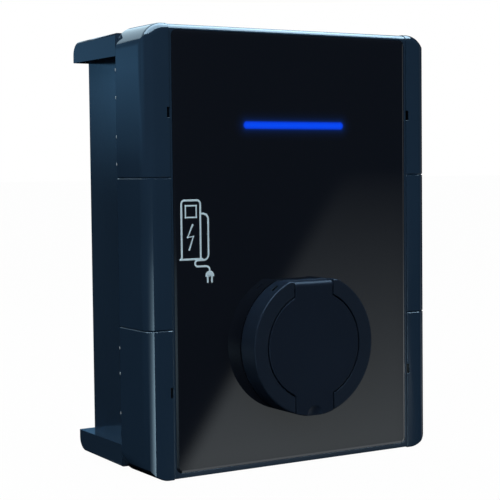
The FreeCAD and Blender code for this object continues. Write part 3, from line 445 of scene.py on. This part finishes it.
smoothing = {
    "mergeDistance": 2e-6,
    "flatAngle": 0.3,  # degrees, faces closer to one plane than this become one
    "sharpAngle": 32.0,
    "softSegments": 2,
    "softAngle": 50.0,
}
sharpBevels = {"front_panel": 14.0}
softEdges = {"socket_ring": 0.0003, "socket_lid": 0.0003, "front_cover": 0.0002}
softEdges.update({node: 0.00025 for node in nodes if "_strip_" in node})
roundedNodes = [
    "rear_shell", "front_cover", "front_panel", "light_bar", "socket_ring", "socket_sleeve", "socket_lid",
    "left_strip_upper", "left_strip_middle", "left_strip_lower",
    "right_strip_upper", "right_strip_middle", "right_strip_lower",
    "lid_seal", "hinge_pin", "socket_gasket", "socket_insert", "power_contacts", "pilot_contacts",
    "lock_pin", "lock_actuator", "supply_grommet", "data_grommet", "current_sensor", "lid_spring",
]


def dress(mesh, node):
    mesh.materials.clear()
    mesh.materials.append(finishes[slotOf[node]])


def smoothCopy(node, values):
    mesh = nodes[node].data.copy()
    shape = bmesh.new()
    shape.from_mesh(mesh)
    bmesh.ops.remove_doubles(shape, verts=shape.verts, dist=values["mergeDistance"])
    flat = math.radians(values["flatAngle"])
    bmesh.ops.dissolve_limit(shape, angle_limit=flat, verts=shape.verts, edges=shape.edges)
    shape.to_mesh(mesh)
    shape.free()
    mesh.shade_smooth()
    mesh.set_sharp_from_angle(angle=math.radians(sharpBevels.get(node, values["sharpAngle"])))
    dress(mesh, node)
    piece = bpy.data.objects.new("shown_" + node, mesh)
    scene.collection.objects.link(piece)
    if node in softEdges:
        soft = piece.modifiers.new("softEdge", "BEVEL")
        soft.width = softEdges[node]
        soft.segments = values["softSegments"]
        soft.limit_method = "ANGLE"
        soft.angle_limit = math.radians(values["softAngle"])
        soft.use_clamp_overlap = False
    weighted = piece.modifiers.new("flatFacesFlat", "WEIGHTED_NORMAL")
    weighted.keep_sharp = True
    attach(piece, bodyOf[node])
    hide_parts(node)


for node in nodes:
    if node in roundedNodes:
        smoothCopy(node, smoothing)
    else:
        dress(nodes[node].data, node)
print("nodes dressed")


# pieces grown with geometry nodes

def startTree(name, sizes):
    tree = bpy.data.node_groups.new(name, "GeometryNodeTree")
    tree.interface.new_socket("Geometry", in_out="INPUT", socket_type="NodeSocketGeometry")
    tree.interface.new_socket("Geometry", in_out="OUTPUT", socket_type="NodeSocketGeometry")
    keys = {}
    for key, value in sizes.items():
        kind = "NodeSocketInt" if isinstance(value, int) else "NodeSocketFloat"
        keys[key] = tree.interface.new_socket(key, in_out="INPUT", socket_type=kind).identifier
    return tree, tree.nodes.new("NodeGroupInput").outputs, keys


def grow(tree, kind, **inputs):
    values = {name.replace("_", " "): value for name, value in inputs.items()}
    return addNode(tree, "GeometryNode" + kind, values).outputs[0]


def endTree(tree, geometry, finish):
    real = grow(tree, "RealizeInstances", Geometry=geometry)
    dressed = grow(tree, "SetMaterial", Geometry=real, Material=finish)
    tree.links.new(dressed, tree.nodes.new("NodeGroupOutput").inputs[0])


def joined(tree, *parts):
    join = tree.nodes.new("GeometryNodeJoinGeometry")
    for part in reversed(parts):
        tree.links.new(part, join.inputs[0])
    return join.outputs[0]


def growPiece(name, body, grown, sizes, points, edges=()):
    tree, keys = grown
    base = bpy.data.meshes.new(name + "Base")
    base.from_pydata(points, edges, [])
    carrier = bpy.data.objects.new(name + "Base", base)
    scene.collection.objects.link(carrier)
    maker = carrier.modifiers.new(name, "NODES")
    maker.node_group = tree
    for key, value in sizes.items():
        maker[keys[key]] = value
    evaluated = carrier.evaluated_get(bpy.context.evaluated_depsgraph_get())
    mesh = bpy.data.meshes.new_from_object(evaluated)
    carrier.modifiers.clear()
    bpy.data.objects.remove(carrier)
    piece = bpy.data.objects.new(name, mesh)
    scene.collection.objects.link(piece)
    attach(piece, body)
    return piece


def arcPoints(middle, radius, start, stop, count):
    turns = [math.radians(start + (stop - start) * i / count) for i in range(count + 1)]
    return [(middle[0] + radius * math.cos(turn), middle[1] + radius * math.sin(turn)) for turn in turns]


def lineEdges(lines):
    points, edges = [], []
    for line, closed in lines:
        first = len(points)
        points.extend(line)
        edges.extend((first + i, first + i + 1) for i in range(len(line) - 1))
        if closed:
            edges.append((len(points) - 1, first))
    return points, edges


# printed pictogram: charging post with screen, bolt, cord and plug, in millimetres

pictogram = {
    "unit": 0.001,
    "Stroke": 0.88,
    "Front": 142.03,
    "Flatness": 0.018,
    "Profile Points": 10,
    "ballRings": 6,
    "cornerSteps": 5,
    "plugSteps": 8,
    "post": (-116.0, -97.5, 44.5, 3.0),  # left, right, top, corner radius
    "foot": (-117.6, -95.9, -6.0),  # left, right, height
    "screen": (-112.0, -101.5, 40.0, 30.0),
    "bolt": [(-105.2, 23.5), (-110.2, 13.0), (-104.6, 13.6), (-108.6, 2.4)],
    "cordStart": (-97.5, 33.0),
    "cordBends": [  # middle, radius, start, stop, steps
        ((-94.8, 28.0), 5.0, 85, 0, 6),
        ((-94.8, -2.0), 5.0, 0, -85, 6),
        ((-100.5, -9.7), 2.7, 90, 270, 8),
        ((-92.2, -15.8), 3.4, 90, 0, 5),
    ],
    "plug": (-88.8, -17.5, 4.6),  # middle and radius
    "plugLines": (1.05, 2.6),  # how far the outlines lie inside the radius
    "plugFace": -3.2,
    "plugNeck": -1.6,
    "prong": (2.1, -3.5, -8.6),  # to the side, from, to
}


def strokeTree(finish, values):
    sizes = {"Stroke": 1.0, "Front": 0.0, "Flatness": 1.0, "Profile Points": 8}
    tree, given, keys = startTree("strokeLines", sizes)
    around = given["Profile Points"]
    ring = grow(tree, "CurvePrimitiveCircle", Resolution=around, Radius=given["Stroke"])
    line = grow(tree, "MeshToCurve", Mesh=given["Geometry"])
    tube = grow(tree, "CurveToMesh", Curve=line, Profile_Curve=ring, Fill_Caps=True)
    ball = grow(tree, "MeshUVSphere", Segments=around, Rings=values["ballRings"], Radius=given["Stroke"])
    dots = grow(tree, "MeshToPoints", Mesh=given["Geometry"])
    ends = grow(tree, "InstanceOnPoints", Points=dots, Instance=ball)
    ends = grow(tree, "RealizeInstances", Geometry=ends)
    spot = axesOf(tree, tree.nodes.new("GeometryNodeInputPosition").outputs[0])
    flat = mathNode(tree, "MULTIPLY_ADD", spot["Y"], given["Flatness"], given["Front"])
    flattened = vectorOf(tree, spot["X"], flat, spot["Z"])
    placed = grow(tree, "SetPosition", Geometry=joined(tree, tube, ends), Position=flattened)
    endTree(tree, placed, finish)
    return tree, keys


def pictogramLines(values):
    left, right, top, corner = values["post"]
    footLeft, footRight, bottom = values["foot"]
    unit, steps = values["unit"], values["cornerSteps"]
    outline = [(left, bottom)] + arcPoints((left + corner, top - corner), corner, 180, 90, steps)
    outline += arcPoints((right - corner, top - corner), corner, 90, 0, steps) + [(right, bottom)]
    x0, x1, z1, z0 = values["screen"]
    screen = [(x0, z0), (x0, z1), (x1, z1), (x1, z0)]
    cord = [values["cordStart"]]
    for bend in values["cordBends"]:
        cord += arcPoints(*bend)
    plugX, plugZ, plugR = values["plug"]
    face, neck = plugZ + values["plugFace"], plugZ + values["plugNeck"]
    aside, prongTop, prongTip = values["prong"]
    lines = [(outline, False), ([(footLeft, bottom), (footRight, bottom)], False), (screen, True)]
    lines += [(values["bolt"], False), (cord, False)]
    for side in (-1, 1):
        x = plugX + side * aside
        lines.append(([(x, plugZ + prongTop), (x, plugZ + prongTip)], False))
    for inset in values["plugLines"]:
        lines.append((arcPoints((plugX, face), plugR - inset, 0, 180, values["plugSteps"]), True))
    lines.append(([(plugX, face), (plugX, neck)], False))
    return [([(x * unit, 0.0, z * unit) for x, z in line], closed) for line, closed in lines]


def makePictogram(values):
    points, edges = lineEdges(pictogramLines(values))
    sizes = {"Flatness": values["Flatness"], "Profile Points": values["Profile Points"]}
    unit = values["unit"]
    sizes.update({"Stroke": values["Stroke"] * unit, "Front": -values["Front"] * unit})
    grown = strokeTree(finishes["print"], values)
    growPiece("panelPictogram", "housing", grown, sizes, points, edges)


# pale tips on the clip lugs behind the side strips

clipTips = {
    "Radius": 0.0006,
    "Length": 0.0017,
    "inset": 0.00062,
    "y": -0.0880,
    "z": (0.158, 0.134, 0.100, 0.076, -0.0845, -0.107, -0.142),
}


def clipTree(finish):
    tree, given, keys = startTree("clipTips", {"Radius": 0.001, "Length": 0.002})
    half = times(tree, given["Length"], 0.5)
    low, high = vectorOf(tree, z=times(tree, half, -1.0)), vectorOf(tree, z=half)
    line = grow(tree, "CurvePrimitiveLine", Start=low, End=high)
    ring = grow(tree, "CurvePrimitiveCircle", Resolution=12, Radius=given["Radius"])
    rib = grow(tree, "CurveToMesh", Curve=line, Profile_Curve=ring, Fill_Caps=True)
    ball = grow(tree, "MeshUVSphere", Segments=12, Rings=8, Radius=given["Radius"])
    lowEnd = grow(tree, "Transform", Geometry=ball, Translation=low)
    highEnd = grow(tree, "Transform", Geometry=ball, Translation=high)
    tip = joined(tree, rib, lowEnd, highEnd)
    endTree(tree, grow(tree, "InstanceOnPoints", Points=given["Geometry"], Instance=tip), finish)
    return tree, keys


def makeClipTips(values):
    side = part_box("left_strip_upper")[0][0] + values["inset"]
    points = [(sign * side, values["y"], z) for sign in (-1, 1) for z in values["z"]]
    sizes = {key: values[key] for key in ("Radius", "Length")}
    growPiece("clipTips", "housing", clipTree(finishes["clip"]), sizes, points)


# thin tongues that close the seams between the side strips

seamTongues = {
    "Height": 0.00076,
    "Thickness": 0.0014,
    "depth": 0.0016,  # below the strips' face
    "edgeRadius": 0.011,
    "z": (0.0642, -0.0658),
    "inner": 0.1262,
    "rear": -0.0900,
    "steps": 12,
}


def tongueTree(finish):
    tree, given, keys = startTree("seamTongues", {"Height": 0.001, "Thickness": 0.001})
    line = grow(tree, "MeshToCurve", Mesh=given["Geometry"])
    line = addNode(tree, "GeometryNodeSetCurveNormal", {"Curve": line}, mode="Z_UP").outputs[0]
    profile = grow(tree, "CurvePrimitiveQuadrilateral", Width=given["Thickness"], Height=given["Height"])
    endTree(tree, grow(tree, "CurveToMesh", Curve=line, Profile_Curve=profile, Fill_Caps=True), finish)
    return tree, keys


def makeSeamTongues(values):
    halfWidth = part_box("right_strip_upper")[1][0]
    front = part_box("right_strip_upper")[0][1]
    radius, depth = values["edgeRadius"], values["depth"]
    path = [(values["inner"], front + depth)]
    path += arcPoints((halfWidth - radius, front + radius), radius - depth, -90, 0, values["steps"])
    path += [(halfWidth - depth, values["rear"])]
    lines = [([(side * x, y, z) for x, y in path], False) for side in (-1, 1) for z in values["z"]]
    points, edges = lineEdges(lines)
    sizes = {key: values[key] for key in ("Height", "Thickness")}
    growPiece("seamTongues", "housing", tongueTree(finishes["strip"]), sizes, points, edges)


# round wire of the lid's spring

springWire = {"Wire": 0.0004, "Coil": 0.0031, "Turns": 5.0, "Steps": 22}


def springTree(finish):
    sizes = {"Wire": 0.0004, "Coil": 0.003, "Turns": 5.0, "Steps": 16, "Length": 0.01}
    tree, given, keys = startTree("springCoil", sizes)
    coil = grow(
        tree, "CurveSpiral", Resolution=given["Steps"], Rotations=given["Turns"],
        Start_Radius=given["Coil"], End_Radius=given["Coil"], Height=given["Length"])
    coil = grow(tree, "Transform", Geometry=coil, Rotation=(0, math.pi / 2, 0))
    ring = grow(tree, "CurvePrimitiveCircle", Resolution=10, Radius=given["Wire"])
    wire = grow(tree, "CurveToMesh", Curve=coil, Profile_Curve=ring, Fill_Caps=True)
    wire = grow(tree, "SetShadeSmooth", Geometry=wire)
    endTree(tree, grow(tree, "InstanceOnPoints", Points=given["Geometry"], Instance=wire), finish)
    return tree, keys


def makeSpring(values):
    low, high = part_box("lid_spring")
    start = (low[0] + values["Wire"], (low[1] + high[1]) / 2, (low[2] + high[2]) / 2)
    sizes = dict(values, Length=high[0] - low[0] - 2 * values["Wire"])
    grown = springTree(finishes["spring_steel"])
    piece = growPiece("roundSpring", bodyOf["lid_spring"], grown, sizes, [start])
    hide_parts("lid_spring")


# light diodes with a base and a lens, behind the light bar

diodeRow = {
    "Size": 0.0028,
    "Lens": 0.0011,
    "heightShare": 0.55,  # of the plain node's depth
    "count": 12,
    "tierWidth": 1.12,
    "lensFlatness": 0.5,
    "steps": (-0.5, -0.75, -0.9),  # where base, tier and lens sit, as shares of the height
}


def diodeTree(finish, values):
    tree, given, keys = startTree("diodeRow", {"Size": 0.0028, "Height": 0.0007, "Lens": 0.0011})
    size, height = given["Size"], given["Height"]
    baseAt, tierAt, lensAt = (vectorOf(tree, y=times(tree, height, step)) for step in values["steps"])
    base = grow(tree, "MeshCube", Size=vectorOf(tree, size, height, size))
    base = grow(tree, "Transform", Geometry=base, Translation=baseAt)
    wide = times(tree, given["Lens"], values["tierWidth"])
    tier = grow(tree, "MeshCylinder", Vertices=20, Radius=wide, Depth=height)
    tier = grow(tree, "Transform", Geometry=tier, Rotation=(math.pi / 2, 0, 0), Translation=tierAt)
    lens = grow(tree, "MeshUVSphere", Segments=20, Rings=12, Radius=given["Lens"])
    lens = grow(tree, "SetShadeSmooth", Geometry=lens)
    flat = (1.0, values["lensFlatness"], 1.0)
    lens = grow(tree, "Transform", Geometry=lens, Scale=flat, Translation=lensAt)
    diode = joined(tree, base, tier, lens)
    endTree(tree, grow(tree, "InstanceOnPoints", Points=given["Geometry"], Instance=diode), finish)
    return tree, keys


def makeDiodes(values):
    low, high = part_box("led_chips")
    count, half = values["count"], values["Size"] / 2
    run = high[0] - low[0] - values["Size"]
    across = [low[0] + half + run * i / (count - 1) for i in range(count)]
    points = [(x, high[1], (low[2] + high[2]) / 2) for x in across]
    sizes = {key: values[key] for key in ("Size", "Lens")}
    sizes["Height"] = (high[1] - low[1]) * values["heightShare"]
    grown = diodeTree(finishes["chip"], values)
    piece = growPiece("diodeRow", "housing", grown, sizes, points)
    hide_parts("led_chips")


# small parts on the controller board, on a grid with some places left out

smallParts = {
    "Length": 0.0020,
    "Width": 0.00125,
    "Height": 0.0006,
    "Seed": 7,
    "columns": 15,
    "rows": 9,
    "left": -0.062,
    "low": 0.006,
    "step": 0.0088,
    "bodyLength": 0.62,  # this and the next four are shares of a part's own size
    "bodyWidth": 0.94,
    "capLength": 0.2,
    "capHeight": 1.1,
    "capPlace": 0.4,
    "filled": 0.72,  # share of the places that hold a part
    "smallest": (0.8, 1.0, 0.8),
    "largest": (2.2, 1.0, 1.8),
}


def smallPartTree(finish, values):
    sizes = {"Length": 0.002, "Width": 0.001, "Height": 0.0006, "Seed": 0}
    tree, given, keys = startTree("smallParts", sizes)
    length, width, height, seed = (given[key] for key in ("Length", "Width", "Height", "Seed"))
    bodyLength, bodyWidth = times(tree, length, values["bodyLength"]), times(tree, width, values["bodyWidth"])
    body = grow(tree, "MeshCube", Size=vectorOf(tree, bodyLength, height, bodyWidth))
    capLength, capHeight = times(tree, length, values["capLength"]), times(tree, height, values["capHeight"])
    cap = grow(tree, "MeshCube", Size=vectorOf(tree, capLength, capHeight, width))
    reach = times(tree, length, values["capPlace"])
    left = grow(tree, "Transform", Geometry=cap, Translation=vectorOf(tree, times(tree, reach, -1.0)))
    right = grow(tree, "Transform", Geometry=cap, Translation=vectorOf(tree, reach))
    chosen = {"Probability": values["filled"], "Seed": seed}
    chosen = addNode(tree, "FunctionNodeRandomValue", chosen, data_type="BOOLEAN").outputs[3]
    turn = {"Min": 0, "Max": 1, "Seed": mathNode(tree, "ADD", seed, 1)}
    turn = addNode(tree, "FunctionNodeRandomValue", turn, data_type="INT").outputs[2]
    turn = vectorOf(tree, y=times(tree, turn, math.pi / 2))
    spread = {"Min": values["smallest"], "Max": values["largest"], "Seed": mathNode(tree, "ADD", seed, 2)}
    spread = addNode(tree, "FunctionNodeRandomValue", spread, data_type="FLOAT_VECTOR").outputs[0]
    parts = grow(
        tree, "InstanceOnPoints", Points=given["Geometry"], Selection=chosen,
        Instance=joined(tree, body, left, right), Rotation=turn, Scale=spread)
    endTree(tree, parts, finish)
    return tree, keys


def makeSmallParts(values):
    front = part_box("controller_board")[0][1] - values["Height"] * 0.5
    across = [values["left"] + values["step"] * i for i in range(values["columns"])]
    up = [values["low"] + values["step"] * i for i in range(values["rows"])]
    points = [(x, front, z) for x in across for z in up]
    sizes = {key: values[key] for key in ("Length", "Width", "Height", "Seed")}
    grown = smallPartTree(finishes["component"], values)
    growPiece("smallParts", "housing", grown, sizes, points)


makePictogram(pictogram)
makeClipTips(clipTips)
makeSeamTongues(seamTongues)
makeSpring(springWire)
makeDiodes(diodeRow)
makeSmallParts(smallParts)
print("pictogram, clip tips, seams, spring and board parts grown")


# floor, hidden from mirrors and seen through from underneath

studioFloor = {
    "half": 40.0,
    "gap": 0.0005,  # below the object
    "colour": (0.8, 0.8, 0.8, 1),
    "rough": 0.9,
    "white": (1.0, 1.0, 1.0, 1),
    "whiteShare": 0.98,  # the rest shows the object's shadow
}


def onlyFor(tree, names):
    path = addNode(tree, "ShaderNodeLightPath").outputs
    total = path[names[0]]
    for name in names[1:]:
        total = mathNode(tree, "MAXIMUM", total, path[name])
    return total


def makeFloor(values):
    low, half = cadBox[0][2] - values["gap"], values["half"]
    corners = [(-half, -half, low), (half, -half, low), (half, half, low), (-half, half, low)]
    mesh = bpy.data.meshes.new("studioFloor")
    mesh.from_pydata(corners, [], [(0, 1, 2, 3)])
    floor = bpy.data.objects.new("studioFloor", mesh)
    scene.collection.objects.link(floor)
    material, tree, shader = startFinish("paleFloor")[:3]
    shader.inputs["Base Color"].default_value = values["colour"]
    shader.inputs["Roughness"].default_value = values["rough"]
    shader.inputs["Specular IOR Level"].default_value = 0.0
    white = addNode(tree, "ShaderNodeEmission", {"Color": values["white"], "Strength": 1.0}).outputs[0]
    seen = times(tree, onlyFor(tree, ["Is Camera Ray"]), values["whiteShare"])
    shown = mixShader(tree, seen, shader.outputs[0], white)
    below = addNode(tree, "ShaderNodeNewGeometry").outputs["Backfacing"]
    clear = addNode(tree, "ShaderNodeBsdfTransparent").outputs[0]
    shown = mixShader(tree, below, shown, clear)
    tree.links.new(shown, tree.nodes["Material Output"].inputs["Surface"])
    mesh.materials.append(material)
    floor.visible_glossy = False
    floor.visible_diffuse = False


# studio light: a white backdrop for the camera, an even level for matt faces, and cards that only
# mirrors see; x, y and z are a direction's parts, and a pair is where a light starts and where it is full

studioCards = {
    "backdrop": (1.0, 1.0, 1.0, 1),
    "frontY": (0.05, -0.18),
}
evenLight = {"tint": (0.86, 0.95, 1.0, 1), "level": 0.42, "z": (-1.2, 0.8)}
skyCard = {  # behind the object, blue, seen in the housing's sides and top
    "blue": (0.20, 0.55, 1.0),
    "pale": (0.62, 0.85, 1.0),
    "top": 5.0,
    "stretch": 2.0,
    "x": (0.66, 0.56),
    "y": (-0.45, 0.0),
    "z": (-0.01, 0.02),
    "stops": [  # height, level, share of the pale colour
        (0.0, 0.06, 0.0), (0.03, 0.30, 0.0), (0.075, 0.80, 0.0), (0.11, 0.55, 0.0),
        (0.16, 0.35, 0.0), (0.27, 0.40, 0.0), (0.30, 2.3, 1.0), (0.5, 2.3, 1.0),
    ],
}
panelCard = {  # the slanted grey reflection in the glossy panel
    "tint": (1.07, 1.17, 1.21, 1),
    "edge": (0.7107, 0.507, -0.4877),
    "soft": 0.008,
    "nearest": 0.05,
    "across": (0.5385, 0.7772),
    "fade": 0.003,
    "bite": 0.001,
    "bottom": -0.2495,
    "bottomFade": 0.002,
    "rise": [
        (0.0, 0.0), (0.01, 0.05), (0.03, 0.13), (0.06, 0.25), (0.1, 0.42), (0.15, 0.68), (0.21, 1.0),
    ],
}
leftCard = {  # the pale highlight down the left edge
    "tint": (0.56, 0.83, 1.0, 1),
    "level": 5.8,
    "from": -1.0,
    "to": -0.274,
    "soft": 0.02,
    "power": 1.6,
    "rise": [
        (0.0, 0.0), (0.045, 0.10), (0.075, 0.75), (0.1, 1.2), (0.14, 2.0),
        (0.2, 2.4), (0.24, 2.2), (0.3, 0.4), (0.36, 0.15),
    ],
}
edgeCards = {  # the light lines on the panel's bevel
    "tint": (0.86, 0.93, 1.0, 1),
    "side": {"x": (0.956, 0.976), "y": (-0.04, -0.08)},
    "sideFall": (0.03, 0.17),
    "sideLevels": (0.35, 1.6),  # at the top and at the bottom
    "under": {"x": (0.42, 0.44), "y": (-0.36, -0.4), "zLow": (-0.765, -0.745), "zHigh": (-0.65, -0.67)},
    "corner": {"x": (0.69, 0.72), "y": (-0.08, -0.11), "zLow": (-0.64, -0.62), "zHigh": (-0.23, -0.27)},
    "underLevel": 1.5,
}
ceilingCard = {"tint": (0.54, 0.79, 1.0, 1), "level": 16.0, "z": (0.705, 0.735), "y": (0.55, 0.3)}


def riseOf(tree, height, stops):
    curve = addNode(tree, "ShaderNodeFloatCurve", {"Value": height})
    points = curve.mapping.curves[0].points
    top = max(level for spot, level in stops)
    points[0].location = (stops[0][0], stops[0][1] / top)
    points[1].location = (stops[-1][0], stops[-1][1] / top)
    for spot, level in stops[1:-1]:
        points.new(spot, level / top)
    curve.mapping.extend = "HORIZONTAL"
    curve.mapping.update()
    return times(tree, curve.outputs[0], top)


def lightOf(tree, colour, strength):
    return addNode(tree, "ShaderNodeBackground", {"Color": colour, "Strength": strength}).outputs[0]


def inside(tree, axes, values):
    spans = {"x": "X", "y": "Y", "z": "Z", "zLow": "Z", "zHigh": "Z"}
    steps = [stepOf(tree, axes[axis], *values[key]) for key, axis in spans.items() if key in values]
    return times(tree, *steps)


def skyGlow(tree, axes, values):
    colours = []
    for height, level, share in values["stops"]:
        tint = [blue + share * (pale - blue) for blue, pale in zip(values["blue"], values["pale"])]
        tint = [level / values["top"] * part for part in tint]
        colours.append((height * values["stretch"], tint + [1]))
    sky = rampOf(tree, times(tree, axes["Z"], values["stretch"]), colours)
    return lightOf(tree, sky, times(tree, inside(tree, axes, values), values["top"]))


def panelGlow(tree, way, axes, under, front, values):
    ahead = mathNode(tree, "MAXIMUM", times(tree, axes["Y"], -1.0), values["nearest"])
    across = mathNode(tree, "DIVIDE", axes["X"], ahead)
    upward = mathNode(tree, "DIVIDE", axes["Z"], ahead)
    slant = {0: way, 1: values["edge"]}
    slant = addNode(tree, "ShaderNodeVectorMath", slant, operation="DOT_PRODUCT").outputs["Value"]
    left, right = values["across"]
    fade, bite, bottom = values["fade"], values["bite"], values["bottom"]
    level = times(
        tree,
        stepOf(tree, slant, -values["soft"], values["soft"]),
        stepOf(tree, across, left - fade, left + bite),
        stepOf(tree, across, right + fade, right - bite),
        stepOf(tree, upward, bottom - values["bottomFade"], bottom + bite),
        riseOf(tree, under, values["rise"]),
        front)
    return lightOf(tree, values["tint"], level)


def leftGlow(tree, axes, under, front, values):
    start = stepOf(tree, axes["X"], values["to"] + values["soft"], values["to"] - values["soft"])
    fall = {"Value": axes["X"], "From Min": values["from"], "From Max": values["to"]}
    fall = mathNode(tree, "POWER", addNode(tree, "ShaderNodeMapRange", fall).outputs[0], values["power"])
    level = times(tree, start, fall, riseOf(tree, under, values["rise"]), values["level"], front)
    return lightOf(tree, values["tint"], level)


def edgeGlow(tree, axes, under, values):
    high, low = values["sideLevels"]
    start, full = values["sideFall"]
    fall = {"Value": under, "From Min": start, "From Max": full, "To Min": high, "To Max": low}
    fall = addNode(tree, "ShaderNodeMapRange", fall, interpolation_type="SMOOTHSTEP").outputs[0]
    side = times(tree, inside(tree, axes, values["side"]), fall)
    below = [inside(tree, axes, values[key]) for key in ("under", "corner")]
    below = times(tree, mathNode(tree, "MAXIMUM", *below), values["underLevel"])
    return lightOf(tree, values["tint"], mathNode(tree, "ADD", side, below))


def evenGlow(tree, axes, values):
    return lightOf(tree, values["tint"], times(tree, inside(tree, axes, values), values["level"]))


def makeWorld(values):
    world = bpy.data.worlds.new("studioWorld")
    world.use_nodes = True
    scene.world = world
    tree = world.node_tree
    tree.nodes.clear()
    way = addNode(tree, "ShaderNodeTexCoord").outputs["Generated"]
    axes = axesOf(tree, way)
    under = times(tree, axes["Z"], -1.0)
    front = stepOf(tree, axes["Y"], *values["frontY"])
    cards = [
        skyGlow(tree, axes, skyCard),
        panelGlow(tree, way, axes, under, front, panelCard),
        leftGlow(tree, axes, under, front, leftCard),
        edgeGlow(tree, axes, under, edgeCards),
        evenGlow(tree, axes, ceilingCard),
    ]
    mirrored = cards[0]
    for card in cards[1:]:
        mirrored = addNode(tree, "ShaderNodeAddShader", {0: mirrored, 1: card}).outputs[0]
    even = evenGlow(tree, axes, evenLight)
    backdrop = lightOf(tree, values["backdrop"], 1.0)
    lit = mixShader(tree, onlyFor(tree, ["Is Glossy Ray"]), even, mirrored)
    shown = mixShader(tree, onlyFor(tree, ["Is Camera Ray", "Is Transmission Ray"]), lit, backdrop)
    tree.links.new(shown, addNode(tree, "ShaderNodeOutputWorld").inputs["Surface"])


lamps = {
    "keyLamp": {"place": (-0.95, -0.75, 1.05), "size": (0.7, 0.7), "power": 9.0},
    "fillLamp": {"place": (0.9, -1.6, 0.8), "size": (1.0, 1.4), "power": 6.0},
    "topLamp": {"place": (0.3, 0.7, 1.5), "size": (1.2, 0.8), "power": 9.0},
}


def makeLamp(name, values):
    data = bpy.data.lights.new(name, "AREA")
    data.shape = "RECTANGLE"
    data.size, data.size_y = values["size"]
    data.energy = values["power"]
    lamp = bpy.data.objects.new(name, data)
    lamp.location = values["place"]
    lamp.rotation_euler = (-Vector(values["place"])).to_track_quat("-Z", "Y").to_euler()
    lamp.visible_camera = False
    lamp.visible_glossy = False
    scene.collection.objects.link(lamp)


makeFloor(studioFloor)
makeWorld(studioCards)
for lampName, lampValues in lamps.items():
    makeLamp(lampName, lampValues)
print("studio lit")
